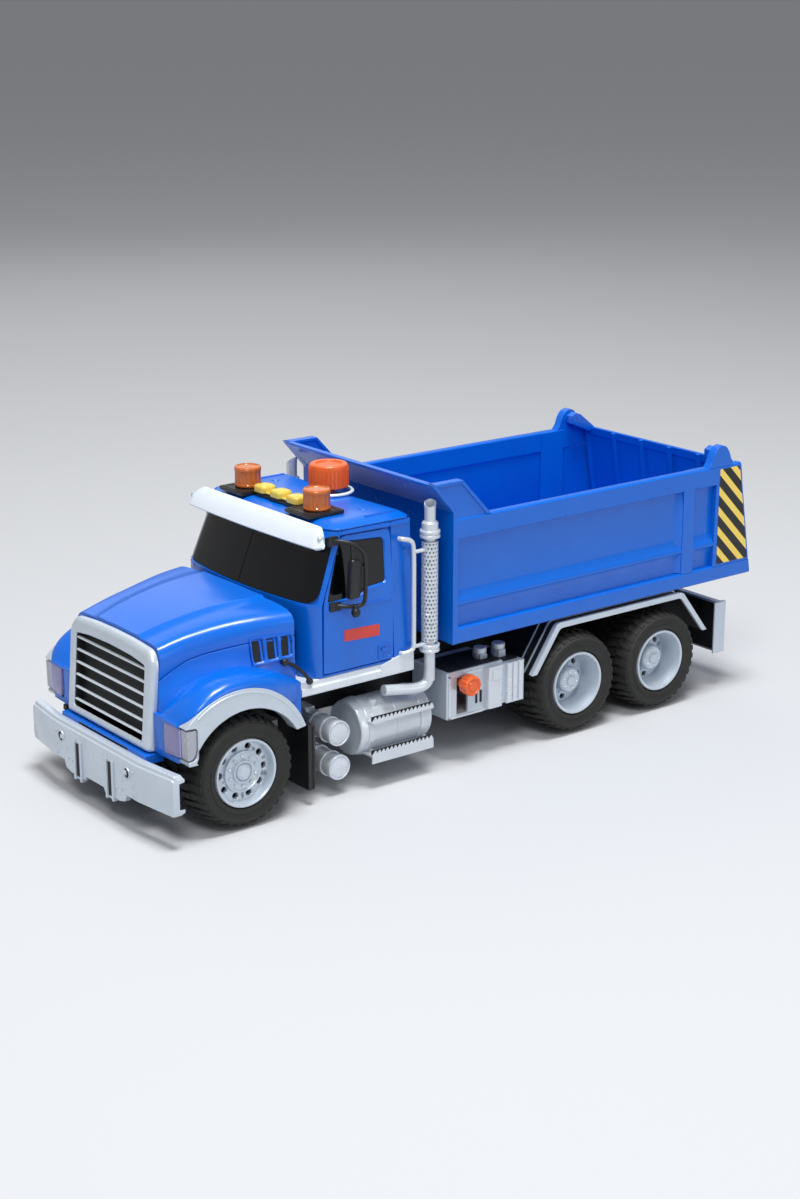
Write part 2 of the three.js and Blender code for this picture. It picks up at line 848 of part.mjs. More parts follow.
function knobPlace(turn) {
  const angle = THREE.MathUtils.degToRad(180 - lever_rest + turn);
  return [lever_station + lever_reach * Math.cos(angle), lever_z + lever_reach * Math.sin(angle)];
}

function liftBox() {
  const x0 = bed_front + box_after_bed_front;
  const [knob_x, knob_top] = knobPlace(0);
  const side = knob_neck + running_gap;
  const front = -box_half + box_wall + 1.6;
  const ribs = x0 + box_rib_start;
  const floor = box_low + box_wall;
  const lid = box_high - box_wall;
  return cut(
    boxOutside(),
    block(x0 + box_wall, ribs, front, 0, floor, lid),
    block(ribs - 1, x0 + box_long - box_wall, front, 0, floor + 2, lid - 1.5),
    block(knob_x - side - 1.4, knob_x + side, -80, 0, floor, knob_top + side),
  );
}

// ---------------------------------------------------------------- wheels

function tyre(axle, width) {
  const inner = -tyre_face + width;
  const seat = rim_radius + gap;
  const profile = [[seat, -tyre_face + 2], [seat + 3, -tyre_face], [wheel_radius - 4, -tyre_face],
    [wheel_radius - 0.8, -tyre_face + 3], [wheel_radius, -tyre_face + 6], [wheel_radius, inner - 6],
    [wheel_radius - 0.8, inner - 3], [wheel_radius - 4, inner], [seat + 3, inner], [seat, inner - 2]];
  return spun([...profile, profile[0]], axle, wheel_radius, 24);
}

function rim(axle, width, dish, hub_rise) {
  const inner = -tyre_face + width;
  const face = -tyre_face + dish;
  const hub = axle_radius + 4;
  const bore = axle_radius + gap;
  const socket = face - hub_rise / 2;
  const profile = [[bore, inner - 4], [bore, socket], [0, socket],
    [0, face - hub_rise], [hub, face - hub_rise + 1], [hub + 1, face], [rim_radius - 3, face],
    [rim_radius - 1.6, -tyre_face + 1], [rim_radius, -tyre_face + 1], [rim_radius, inner - 2],
    [rim_radius - 2, inner - 2], [rim_radius - 2.4, face + 3], [hub, face + 3], [hub, inner - 4],
    [bore, inner - 4]];
  return spun(profile, axle, wheel_radius, 20);
}

function axle(station, dish, hub_rise) {
  const end = tyre_face - dish + hub_rise / 2 - gap;
  return rodAcross(station, wheel_radius, axle_radius, -end, end, 20);
}

// ---------------------------------------------------------------- mudguards and rear bar

function guardLow() {
  return bed_low - 2.4 - guard_thick;
}

function mudguard() {
  const top = guardLow() + guard_thick;
  const outer = [[middle_axle - 32.6, 39], [middle_axle - 14.4, top], [rear_axle + 17.6, top],
    [rear_axle + 38, 39.5]];
  const inner = [[rear_axle + 34.4, 39.5], [rear_axle + 15.8, top - guard_thick],
    [middle_axle - 12.6, top - guard_thick], [middle_axle - 29.2, 39]];
  return across([...outer, ...inner].reverse(), -guard_half, -guard_inner);
}

function rearBar() {
  const x0 = bed_rear - rear_bar_inset;
  const x1 = x0 + rear_bar_thick;
  const plate = block(x0, x1, -rear_bar_half, rear_bar_half, rear_bar_low, rear_bar_high);
  const ends = boxPair(x0, x1 + 2, rear_bar_half - 4, rear_bar_half, rear_bar_low, rear_bar_high);
  return join(plate, ...ends);
}

// ---------------------------------------------------------------- bed and tailgate

function rearAt(z) {
  return bed_rear - (z - bed_low) * rear_slope;
}

function bedWall() {
  const notch = bed_front + canopy_notch;
  const face = [[bed_front, bed_low], [bed_rear, bed_low], [rearAt(bed_high), bed_high], [notch, bed_high],
    [bed_front + canopy_flat - canopy_reach, canopy_high], [bed_front - canopy_reach, canopy_high],
    [bed_front - canopy_reach, canopy_high - 1], [bed_front, bed_high + canopy_bevel - 1]];
  const ear = [gate_hinge, gate_hinge_z];
  const panel_low = bed_low + bed_rail_low;
  const panel_high = bed_high - bed_rail_high;
  const rear_post = bed_rear - bed_rear_post;
  const posts = rear_post - bed_post_gap - bed_post - 6;
  const panel_face = -bed_half + bed_panel_depth;
  return cut(
    join(across(face, -bed_half, -bed_half + bed_wall),
      rodAcross(ear[0], ear[1], gate_lug, -bed_half, -bed_half + bed_wall, 20),
      block(ear[0] - gate_lug, ear[0] + gate_lug, -bed_half, -bed_half + bed_wall, bed_high - 2, ear[1])),
    block(bed_front + 3, posts, -bed_half - 1, panel_face, panel_low, panel_high),
    block(posts + bed_post, rear_post - 2, -bed_half - 1, panel_face, panel_low, panel_high),
    rodAcross(ear[0], ear[1], gate_pin + pin_clearance, -bed_half - 1, 0, 16),
  );
}

function bedTub() {
  const inner = bed_half - bed_wall + 1;
  const bend = bed_high + canopy_bevel - 1;
  const canopy_front = bed_front - canopy_reach;
  const bulkhead = [[bed_front, bed_low], [bed_front + 3, bed_low], [bed_front + 3, bend],
    [canopy_front + 3, canopy_high - 1], [canopy_front, canopy_high - 1], [bed_front, bend]];
  const floor = [[bed_front, bed_low], [bed_rear - 6.6, bed_low], [bed_rear - 6.6, bed_low + bed_floor],
    [bed_front, bed_low + bed_floor]];
  const body = join(
    bedWall(),
    mirrored(bedWall()),
    across(bulkhead, -inner, inner),
    across(floor, -inner, inner),
    ...lugPair(tip_pivot, tip_pivot_z, bed_low + 1, bed_lug_inner, bed_lug_outer),
  );
  return cut(body, rodAcross(tip_pivot, tip_pivot_z, tip_pin + gap, -bed_lug_outer - 1, bed_lug_outer + 1));
}

function tailgate() {
  const half = bed_half - bed_wall - running_gap;
  const low = bed_low + 1.6;
  const high = bed_high - 0.2;
  const outer = (z) => rearAt(z) - running_gap;
  const inner = (z) => outer(z) - gate_thick;
  const panel = [[inner(low), low], [outer(low), low], [outer(high), high], [inner(high), high]];
  const [x, z] = [gate_hinge, gate_hinge_z];
  const hook = [[x + 4, z - 4.6], [inner(high), high - 2.4], [outer(high), high], [x + 4, z + 3.6],
    [x - 3.6, z + 3.6], [x - 3.6, z - 1.4]];
  const arm = across(hook, half - 5, half);
  const pin = rodAcross(gate_hinge, gate_hinge_z, gate_pin, half - 1, bed_half - gap, 16);
  return join(across(panel, -half, half), arm, mirrored(arm), pin, mirrored(pin));
}

// ---------------------------------------------------------------- lifting gear

const tooth_pitch = (2 * Math.PI * lever_gear) / 15;

// A spur gear about (0, 0) with a space, not a tooth, at the angle given.
function gearOutline(radius, space_angle) {
  const teeth = Math.round((2 * Math.PI * radius) / tooth_pitch);
  const points = [];
  const step = (2 * Math.PI) / teeth;
  for (let k = 0; k < teeth; k += 1) {
    const middle = space_angle + step * (k + 0.5);
    for (const [share, height] of [[-0.27, -1.35], [-0.11, 1], [0.11, 1], [0.27, -1.35]]) {
      const r = radius + height * gear_tooth;
      points.push([r * Math.cos(middle + share * step), r * Math.sin(middle + share * step)]);
    }
  }
  return points;
}

function gearAcross(x, z, radius, space_angle) {
  const points = gearOutline(radius, space_angle).map(([a, b]) => [a + x, b + z]);
  return across(points, -gear_half_width, gear_half_width);
}

// A straight bar's outline between two points in X and Z.
function barOutline([x0, z0], [x1, z1], width) {
  const half = width / 2 / Math.hypot(x1 - x0, z1 - z0);
  const [a, b] = [(z1 - z0) * half, (x0 - x1) * half];
  return [[x0 + a, z0 + b], [x1 + a, z1 + b], [x1 - a, z1 - b], [x0 - a, z0 - b]];
}

function liftLever() {
  const [x, z] = knobPlace(0);
  const away = -box_half - running_gap;
  const plate_y = -box_half + 6;
  const bar = barOutline([x, z], [lever_station, lever_z], lever_thick);
  return join(
    rodAcross(lever_station, lever_z, axle_radius, plate_y, rail_outer),
    gearAcross(lever_station, lever_z, lever_gear, Math.PI / 2),
    across(bar, plate_y, plate_y + 4),
    rodAcross(lever_station, lever_z, axle_radius + 1.6, plate_y, plate_y + 4),
    rodAcross(x, z, knob_neck, away - 1, plate_y + 2, 16),
    rodAcross(x, z, knob_radius, away - knob_long, away, 24),
    rodAcross(x, z, knob_radius * 0.72, away - knob_long - 0.8, away, 24),
  );
}

const rack_teeth = [-3, -2, -1, 0, 1, 2, 3, 4];

function rackTooth(x, z, up) {
  const tip = z - up * gear_tooth;
  const root = z + up * gear_tooth * 1.4;
  const shape = [[x - 0.27 * tooth_pitch, root], [x - 0.11 * tooth_pitch, tip],
    [x + 0.11 * tooth_pitch, tip], [x + 0.27 * tooth_pitch, root]];
  return across(up > 0 ? shape : [...shape].reverse(), -gear_half_width, gear_half_width);
}

function liftRack() {
  const half = gear_half_width;
  const root = 1.35 * gear_tooth;
  const top = rack_z + rack_thick;
  const reach = 5 * tooth_pitch;
  return join(
    block(lever_station - reach, lever_station + reach, -half, half, rack_z + root, top),
    block(lever_station + reach - 1, arm_station - reach + 1, -half, half, rack_z, top),
    block(arm_station - reach, arm_station + reach, -half, half, rack_z, top - root),
    ...rack_teeth.map((k) => rackTooth(lever_station + k * tooth_pitch, rack_z, 1)),
    ...rack_teeth.map((k) => rackTooth(arm_station + k * tooth_pitch, top, -1)),
  );
}

function liftArm() {
  const angle = THREE.MathUtils.degToRad(180 - arm_rest);
  const tip = [arm_station + arm_reach * Math.cos(angle), arm_z + arm_reach * Math.sin(angle)];
  const bar = barOutline([arm_station, arm_z], tip, arm_thick);
  return join(
    gearAcross(arm_station, arm_z, arm_gear, -Math.PI / 2),
    across(bar, -5, 5),
    rodAcross(tip[0], tip[1], arm_foot, -8, 8, 20),
    rodAcross(arm_station, arm_z, tip_pin, -rail_outer, rail_outer, 16),
  );
}

// ---------------------------------------------------------------- the truck

add('chassis_frame', chassisFrame(), black);
add('battery_pack', batteryPack(), steel);
add('battery_cover', batteryCover(), black);
add('front_bumper', bumper(), silver);
add('front_apron', apron(), blue);
add('grille_surround', grilleSurround(), silver);
add('grille_insert', grilleInsert(), glossBlack);
add('grille_bars', grilleBars(), silver);
add('hood', hood(), blue);
addPair('fender_trim', fenderTrim(), silver);
addPair('headlight', headlightBody(0), clear);
add('cab_shell', cabShell(), blue);
add('cab_glazing', glazing(), glossBlack);
add('cab_floor', cabFloor(), white);
add('roof_panel', roof(), blue);
add('sun_visor', visor(), white);
add('light_bar', lightBar(), black);
addPair('beacon', beacon(), amber);
add('roof_lamps', roofLamps(), yellow);
add('light_board', lightBoard(), green);
add('button_collar', buttonCollar(), white);
add('light_button', lightButton(), orange);
add('button_spring', buttonSpring(), steel);
addPair('mirror', mirror(), black);
addPair('exhaust_stack', exhaustStack(), silver);
addPair('fuel_tank', fuelTank(), silver);
addPair('air_tanks', airTanks(), silver);
add('lift_box_left', liftBox(), silver);
add('tool_box_right', mirrored(boxOutside()), silver);

const wheel_sets = [
  ['front', front_axle, front_tyre_width, front_dish, front_hub_rise],
  ['middle', middle_axle, rear_tyre_width, rear_dish, rear_hub_rise],
  ['rear', rear_axle, rear_tyre_width, rear_dish, rear_hub_rise],
];
for (const [name, station, width, dish, hub_rise] of wheel_sets) {
  add(`${name}_axle`, axle(station, dish, hub_rise), steel);
  addPair(`${name}_tyre`, tyre(station, width), rubber);
  addPair(`${name}_rim`, rim(station, width, dish, hub_rise), silver);
}

addPair('mudguard', mudguard(), silver);
add('rear_light_bar', rearBar(), silver);
add('bed_tub', bedTub(), blue);
add('tailgate', tailgate(), blue);
add('bed_hinge_pin', rodAcross(tip_pivot, tip_pivot_z, tip_pin, -rail_outer, rail_outer, 20), steel);
add('lift_lever', liftLever(), orange);
add('lift_rack', liftRack(), black);
add('lift_arm', liftArm(), orange);

export default group;
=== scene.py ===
"""Visual model of a toy six-wheel tipper truck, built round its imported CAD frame.

Sizes are millimetres. X is a station measured back from the bumper's front, Y is
across with the left side negative, and Z is up. place() turns them into the
frame's metres, with the origin under the middle of the truck.
"""

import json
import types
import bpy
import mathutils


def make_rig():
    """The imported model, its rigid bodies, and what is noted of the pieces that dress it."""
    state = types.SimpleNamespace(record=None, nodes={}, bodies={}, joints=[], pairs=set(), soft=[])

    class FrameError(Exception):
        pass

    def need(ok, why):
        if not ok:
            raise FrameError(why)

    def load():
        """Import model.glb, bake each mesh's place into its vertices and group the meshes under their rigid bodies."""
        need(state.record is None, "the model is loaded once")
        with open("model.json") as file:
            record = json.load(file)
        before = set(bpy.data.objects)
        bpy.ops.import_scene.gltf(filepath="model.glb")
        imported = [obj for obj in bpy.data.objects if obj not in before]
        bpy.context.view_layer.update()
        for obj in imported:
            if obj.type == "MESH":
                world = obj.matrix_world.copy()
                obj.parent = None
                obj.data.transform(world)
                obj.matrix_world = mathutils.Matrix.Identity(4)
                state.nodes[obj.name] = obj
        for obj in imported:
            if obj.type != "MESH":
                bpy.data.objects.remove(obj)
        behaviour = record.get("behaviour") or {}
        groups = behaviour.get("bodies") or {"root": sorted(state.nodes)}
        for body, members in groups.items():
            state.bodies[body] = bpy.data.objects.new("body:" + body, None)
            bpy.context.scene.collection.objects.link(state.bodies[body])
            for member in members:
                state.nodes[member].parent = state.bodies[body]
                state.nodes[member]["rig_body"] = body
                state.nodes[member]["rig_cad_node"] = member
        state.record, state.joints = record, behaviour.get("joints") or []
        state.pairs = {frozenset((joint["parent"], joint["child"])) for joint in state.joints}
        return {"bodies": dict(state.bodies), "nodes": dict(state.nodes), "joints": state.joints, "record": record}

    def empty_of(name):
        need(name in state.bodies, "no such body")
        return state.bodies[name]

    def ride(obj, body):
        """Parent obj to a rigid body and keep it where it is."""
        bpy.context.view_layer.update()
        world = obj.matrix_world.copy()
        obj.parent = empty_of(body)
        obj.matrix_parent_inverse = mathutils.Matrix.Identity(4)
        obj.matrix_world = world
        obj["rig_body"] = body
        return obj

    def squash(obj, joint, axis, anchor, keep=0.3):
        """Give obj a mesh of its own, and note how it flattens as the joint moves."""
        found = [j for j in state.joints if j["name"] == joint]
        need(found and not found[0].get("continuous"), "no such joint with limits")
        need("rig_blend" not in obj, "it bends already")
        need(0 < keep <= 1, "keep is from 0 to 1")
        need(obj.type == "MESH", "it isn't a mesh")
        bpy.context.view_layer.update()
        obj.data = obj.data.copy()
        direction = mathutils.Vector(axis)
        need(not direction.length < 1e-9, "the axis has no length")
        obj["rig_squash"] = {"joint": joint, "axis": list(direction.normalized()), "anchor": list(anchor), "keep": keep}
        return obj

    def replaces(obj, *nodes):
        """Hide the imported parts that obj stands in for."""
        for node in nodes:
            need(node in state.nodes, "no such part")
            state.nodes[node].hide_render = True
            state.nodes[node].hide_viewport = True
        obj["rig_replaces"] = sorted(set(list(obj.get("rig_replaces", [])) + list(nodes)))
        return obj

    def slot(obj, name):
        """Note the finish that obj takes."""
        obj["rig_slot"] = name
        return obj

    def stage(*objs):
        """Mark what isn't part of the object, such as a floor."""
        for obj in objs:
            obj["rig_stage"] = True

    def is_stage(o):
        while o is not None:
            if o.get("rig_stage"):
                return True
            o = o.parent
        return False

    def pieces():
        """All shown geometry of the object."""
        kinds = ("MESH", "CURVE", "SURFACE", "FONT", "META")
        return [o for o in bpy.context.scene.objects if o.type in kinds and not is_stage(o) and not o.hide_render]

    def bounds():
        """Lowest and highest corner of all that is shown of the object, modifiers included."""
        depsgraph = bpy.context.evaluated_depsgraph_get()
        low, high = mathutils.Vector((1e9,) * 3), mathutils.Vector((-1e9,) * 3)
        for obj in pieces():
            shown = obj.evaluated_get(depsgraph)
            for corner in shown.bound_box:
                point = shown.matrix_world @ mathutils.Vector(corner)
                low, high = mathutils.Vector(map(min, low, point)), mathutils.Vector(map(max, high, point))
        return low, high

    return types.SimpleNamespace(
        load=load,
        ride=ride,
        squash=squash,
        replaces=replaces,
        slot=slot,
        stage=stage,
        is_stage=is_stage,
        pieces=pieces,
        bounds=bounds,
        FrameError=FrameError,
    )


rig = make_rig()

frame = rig.load()

import json
import math

import bmesh
import bpy
import numpy as np
from mathutils import Vector

LOW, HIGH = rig.bounds()
HALF_LENGTH = (HIGH.x - LOW.x) * 500

# ------------------------------------------------------------------ camera


def make_camera():
    """The camera stands at the front left, a little above the truck's roof."""
    data = bpy.data.cameras.new("camera")
    data.lens, data.sensor_width = 62.5, 36
    camera = bpy.data.objects.new("camera", data)
    bpy.context.scene.collection.objects.link(camera)
    camera.location = (-0.67299, -0.85908, 0.40571)
    look = Vector((0.58663, 0.75542, -0.29190))
    camera.rotation_mode = "QUATERNION"
    camera.rotation_quaternion = look.to_track_quat("-Z", "Y")
    bpy.context.scene.camera = camera


make_camera()

# ------------------------------------------------------------------ driving sizes, mm

BED_FRONT, BED_REAR, BED_HALF = 177.4, 400.0, 66.25
BED_LOW, BED_HIGH, BED_LEAN = 67.9, 135.2, 11.4
EAR_X, EAR_Z = 372.5, 140.4
AXLES = {"front": 47.6, "middle": 265.6, "rear": 328.5}
WHEEL, RIM, TYRE_FACE = 28.7, 17.6, 67.65
CAB_HALF, CAB_REAR, SILL = 58.5, 157.2, 64.5
COWL, EAVES, ROOF = 101.8, 137.4, 141.4
GLASS_FOOT, GLASS_LEAN = 88.0, 14.5 / 35.6
ARCH = (47.6, 28.7, 33.3)      # the wheel opening's middle and radius
TRIM = (43.5, 32.0, 41.5)      # the trim's outer arc
STACK = (166.0, -61.1)         # the left exhaust stack's axis
TANK = (0, -47, 29.5)          # the left fuel tank's axis
STEPS = (36.6, 18.4)           # heights of the two steps beside the tank
AIR_TANK_X, AIR_TANKS = 109.0, (33.0, 14.6)    # their station and heights
BOX_FACE = -59.5               # the side box's outer face
BEACON = (117.0, -31.0)        # the left beacon's middle
BUTTON_X, BUTTON_TOP = 147.0, 157.2
SPRING_TOP, SPRING_PRESSED = 153.9, 0.793      # its share of length when pressed
LEVER = (214.0, 36.0)          # the lift lever's pivot, its reach and its angle
LEVER_REACH, LEVER_LIFT = 24.5, math.radians(16.6)
TAIL_LAMPS = (49.0, 36.6)      # distances of the rear lamps from the middle

# ------------------------------------------------------------------ shapes


def place(points):
    """Stations in millimetres to the frame's metres."""
    points = np.asarray(points, float).reshape(-1, 3)
    return (points - (HALF_LENGTH, 0, 0)) / 1000


def grid(points, wrap_u=False, wrap_v=False, caps=False):
    """A surface of two parameters, points[u, v], as vertices and quads.

    A wrapped direction joins its last row to its first. caps closes the two
    ends of u with one face each.
    """
    points = np.asarray(points, float)
    nu, nv = points.shape[:2]
    index = np.arange(nu * nv).reshape(nu, nv)
    u = np.arange(nu if wrap_u else nu - 1)
    v = np.arange(nv if wrap_v else nv - 1)
    a = index[u][:, v]
    b = index[(u + 1) % nu][:, v]
    c = index[(u + 1) % nu][:, (v + 1) % nv]
    d = index[u][:, (v + 1) % nv]
    faces = np.stack([a, b, c, d], -1).reshape(-1, 4).tolist()
    if caps:
        faces += [index[0][::-1].tolist(), index[-1].tolist()]
    return points.reshape(-1, 3), faces


def prism(outline, low, high, axis="y"):
    """A closed outline repeated at two stations along an axis, and capped.

    The outline's pairs are (x, z) for axis y, (y, z) for axis x, (x, y) for z.
    """
    outline = np.asarray(outline, float)
    a, b = outline[:, 0], outline[:, 1]
    rows = []
    for level in (low, high):
        level = np.broadcast_to(level, a.shape)
        rows.append(np.stack({"x": (level, a, b), "y": (a, level, b), "z": (a, b, level)}[axis], -1))
    return grid(np.array(rows), wrap_v=True, caps=True)


def block(x0, x1, y0, y1, z0, z1):
    """A straight block between two corners. Its edges are rounded later."""
    return prism([(x0, z0), (x1, z0), (x1, z1), (x0, z1)], y0, y1)


def turned(profile, centre, axis="y", n=48):
    """A profile of (radius, distance along the axis), turned round the axis.

    The profile is closed into a ring unless both its ends are on the axis.
    """
    profile = np.asarray(profile, float)
    angle = np.arange(n) * 2 * np.pi / n
    r, s = profile[:, 0], profile[:, 1]
    c, q = np.outer(np.cos(angle), r), np.outer(np.sin(angle), r)
    s = np.broadcast_to(s, c.shape)
    points = np.stack({"x": (s, c, q), "y": (c, s, q), "z": (c, q, s)}[axis], -1)
    open_ends = profile[0, 0] < 1e-9 and profile[-1, 0] < 1e-9
    return grid(points + np.asarray(centre, float), wrap_u=True, wrap_v=not open_ends)


def rod(centre, radius, low, high, axis="y", n=24, edge=0.35):
    """A round bar with rounded ends, from low to high along the axis."""
    e = min(edge, (high - low) / 3, radius / 2)
    profile = [(0, low), (radius - e, low), (radius, low + e), (radius, high - e), (radius - e, high),
               (0, high)]
    return turned(profile, centre, axis, n)


def smoothed(points, rounds=2):
    """Corner cutting: each stretch gives way to its points at 1/4 and 3/4."""
    points = np.asarray(points, float)
    for _ in range(rounds):
        a, b = points[:-1], points[1:]
        inner = np.stack([a * 0.75 + b * 0.25, a * 0.25 + b * 0.75], 1).reshape(-1, points.shape[1])
        points = np.concatenate([points[:1], inner, points[-1:]])
    return points


def swept(path, radius, n=12):
    """A round bar along a path: circles at right angles to its direction,
    measured from the line across the truck."""
    path = np.asarray(path, float)
    along = np.gradient(path, axis=0)
    along /= np.linalg.norm(along, axis=1, keepdims=True)
    side = np.cross(along, (0.0, 1.0, 0.0))
    side /= np.linalg.norm(side, axis=1, keepdims=True)
    other = np.cross(along, side)
    angle = np.arange(n) * 2 * np.pi / n
    ring = side[:, None] * np.cos(angle)[None, :, None] + other[:, None] * np.sin(angle)[None, :, None]
    return grid(path[:, None] + ring * np.broadcast_to(radius, len(path))[:, None, None], wrap_v=True,
                caps=True)


def bend(start, towards, end, t):
    """A quadratic curve from start to end that leaves and arrives pointing at towards."""
    return start * (1 - t) ** 2 + 2 * towards * t * (1 - t) + end * t ** 2


def rounded(outline, radius, steps=4):
    """A closed outline whose corners are replaced by quadratic curves that
    start and end at the given distance from the corner."""
    p = np.asarray(outline, float)
    radius = np.broadcast_to(radius, len(p))
    before, after = np.roll(p, 1, 0) - p, np.roll(p, -1, 0) - p
    lb, la = np.linalg.norm(before, axis=1), np.linalg.norm(after, axis=1)
    reach = np.minimum(radius, np.minimum(lb, la) * 0.48)
    start = p + before * (reach / lb)[:, None]
    end = p + after * (reach / la)[:, None]
    t = np.linspace(0, 1, steps + 1)[None, :, None]
    return bend(start[:, None], p[:, None], end[:, None], t).reshape(-1, 2)


def soft_panel(a0, b0, a1, b1, radius, steps):
    """An upright rectangle between two opposite corners, its corners rounded."""
    return rounded([(a0, b0), (a1, b0), (a1, b1), (a0, b1)], radius, steps)


def polar(outline, centre, angles):
    """The outline's points seen from a centre at the given angles: where each
    ray crosses the outline's straight edges."""
    p = np.asarray(outline, float) - centre
    q = np.roll(p, -1, 0)
    ray = np.stack([np.cos(angles), np.sin(angles)], -1)[:, None]
    edge = (q - p)[None]
    cross = ray[..., 0] * edge[..., 1] - ray[..., 1] * edge[..., 0]
    cross = np.where(np.abs(cross) < 1e-12, 1e-12, cross)
    reach = (p[None, :, 0] * edge[..., 1] - p[None, :, 1] * edge[..., 0]) / cross
    share = (p[None, :, 0] * ray[..., 1] - p[None, :, 1] * ray[..., 0]) / cross
    good = (reach > 0) & (share > -1e-9) & (share < 1 + 1e-9)
    reach = np.where(good, reach, 1e9).min(1)
    return centre + ray[:, 0] * reach[:, None]


def corner_angles(centre, *outlines, n=64):
    """Evenly spread angles, with the angles of every outline's own corners."""
    own = [np.arctan2(*(np.asarray(o, float) - centre).T[::-1]) for o in outlines]
    spread = np.linspace(-np.pi, np.pi, n, endpoint=False)
    return np.unique(np.round(np.concatenate([spread, *own]), 5))


def flat(side):
    """Places pairs (x, z) on the plane Y = side, moved out by a depth."""
    sign = -1 if side < 0 else 1
    return lambda a, b, depth: np.stack([a, np.full_like(a, side) + sign * depth, b], -1)


def holed(outer, inner, where, depth, lip, n=64):
    """A plate with a hole, as loops joined into a closed ring: the outline,
    the hole, then both again at the depth below. lip slopes the hole's edge."""
    centre = np.mean(inner, 0)
    angles = corner_angles(centre, outer, inner, n=n)
    far, near = polar(outer, centre, angles), polar(inner, centre, angles)
    wide = near + (near - centre) / np.linalg.norm(near - centre, axis=1, keepdims=True) * lip
    loops = [(far, 0), (wide, 0), (near, -lip), (near, -depth), (far, -depth)]
    rows = [where(l[:, 0], l[:, 1], np.full(len(l), d, float)) for l, d in loops]
    return grid(np.array(rows), wrap_u=True, wrap_v=True)


def filled(outline, where, depth, rings=6, edge=0.3):
    """A plate: rings from its middle out to its outline, its rounded edge, and
    the same rings back at the depth below."""
    outline = np.asarray(outline, float)
    centre = outline.mean(0)
    n = len(outline)
    small = 1 - edge / np.linalg.norm(outline - centre, axis=1).mean()
    steps = [(s, 0.0) for s in np.linspace(0, small, rings)] + [(1.0, -min(edge, depth / 2))]
    steps += [(1.0, -depth)] + [(s, -depth) for s in np.linspace(small, 0, rings)]
    rows = []
    for share, d in steps:
        ring = centre + (outline - centre) * share
        rows.append(where(ring[:, 0], ring[:, 1], np.full(n, d, float)))
    return grid(np.array(rows), wrap_v=True)


def other_side(shell):
    """The same shell mirrored to the other side of the truck."""
    points, faces = shell
    return points * (1, -1, 1), faces


def both(*shells):
    """The shells, each followed by its mirror image."""
    return [s for shell in shells for s in (shell, other_side(shell))]


def round_about(shell, centre, count, axis="y", first=0.0):
    """Copies of a shell turned round an axis through a centre."""
    points, faces = shell
    angle = first + np.arange(count) * 2 * np.pi / count
    c, s = np.cos(angle), np.sin(angle)
    o, l = np.zeros(count), np.ones(count)
    rows = {"y": [c, o, s, o, l, o, -s, o, c], "z": [c, -s, o, s, c, o, o, o, l],
            "x": [l, o, o, o, c, -s, o, s, c]}[axis]
    turn = np.stack(rows, -1).reshape(count, 3, 3)
    centre = np.asarray(centre, float)
    moved = np.einsum("kij,nj->kni", turn, points - centre) + centre
    return [(m, faces) for m in moved]


# ------------------------------------------------------------------ pieces


def piece(name, shells, material, body, replaces=(), slot=None, bevel=0.3, segments=2, sharp=32):
    """One object from closed shells, faces outward, with rounded edges, that
    rides on a body and stands for its CAD nodes."""
    verts, faces, start = [], [], 0
    for points, quads in shells:
        verts.append(points)
        faces += [[k + start for k in face] for face in quads]
        start += len(points)
    mesh = bpy.data.meshes.new(name)
    mesh.from_pydata(place(np.concatenate(verts)).tolist(), [], faces)
    cleaned = bmesh.new()
    cleaned.from_mesh(mesh)
    bmesh.ops.remove_doubles(cleaned, verts=cleaned.verts, dist=2e-7)
    bmesh.ops.dissolve_degenerate(cleaned, edges=cleaned.edges, dist=1e-7)
    bmesh.ops.recalc_face_normals(cleaned, faces=cleaned.faces)
    cleaned.to_mesh(mesh)
    cleaned.free()
    return finish_piece(name, mesh, material, body, replaces, slot, bevel, segments, sharp)


def finish_piece(name, mesh, material, body, replaces, slot, bevel, segments, sharp):
    """Smooth faces, sharp edges past an angle, a live edge rounding, and the
    frame's calls."""
    mesh.polygons.foreach_set("use_smooth", np.ones(len(mesh.polygons), bool))
    mesh.set_sharp_from_angle(angle=math.radians(sharp))
    mesh.materials.append(material)
    made = bpy.data.objects.new(name, mesh)
    bpy.context.scene.collection.objects.link(made)
    if bevel:
        rounding = made.modifiers.new("rounded_edges", "BEVEL")
        rounding.width, rounding.segments = bevel / 1000, segments
        rounding.limit_method, rounding.angle_limit = "ANGLE", math.radians(sharp)
        rounding.harden_normals = True
        rounding.use_clamp_overlap = True
    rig.ride(made, body)
    if replaces:
        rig.replaces(made, *replaces)
    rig.slot(made, slot or SLOTS[material.name])
    return made


def from_cad(name, node, material, body, bevel):
    """A merged copy of a CAD node whose flat faces are whole again, so that
    its edges can be rounded."""
    mesh = frame["nodes"][node].data.copy()
    mesh.materials.clear()
    cleaned = bmesh.new()
    cleaned.from_mesh(mesh)
    bmesh.ops.remove_doubles(cleaned, verts=cleaned.verts, dist=2e-6)
    bmesh.ops.dissolve_limit(cleaned, angle_limit=math.radians(1), verts=cleaned.verts, edges=cleaned.edges)
    cleaned.to_mesh(mesh)
    cleaned.free()
    return finish_piece(name, mesh, material, body, (node,), None, bevel, 2, 32)


def pair(name, shells, material, node=None, body="chassis", **finishing):
    """A left piece and its mirror image on the right, each standing for its
    side's CAD node."""
    for side in ("left", "right"):
        piece(f"{name}_{side}", shells, material, body, [f"{node}_{side}"] if node else (), **finishing)
        shells = [other_side(shell) for shell in shells]

# ------------------------------------------------------------------ materials


def linear(code):
    """An sRGB hex colour as the linear values that the shader mixes."""
    value = np.array([int(code[k:k + 2], 16) for k in (1, 3, 5)]) / 255
    value = np.where(value <= 0.04045, value / 12.92, ((value + 0.055) / 1.055) ** 2.4)
    return (*value.tolist(), 1.0)


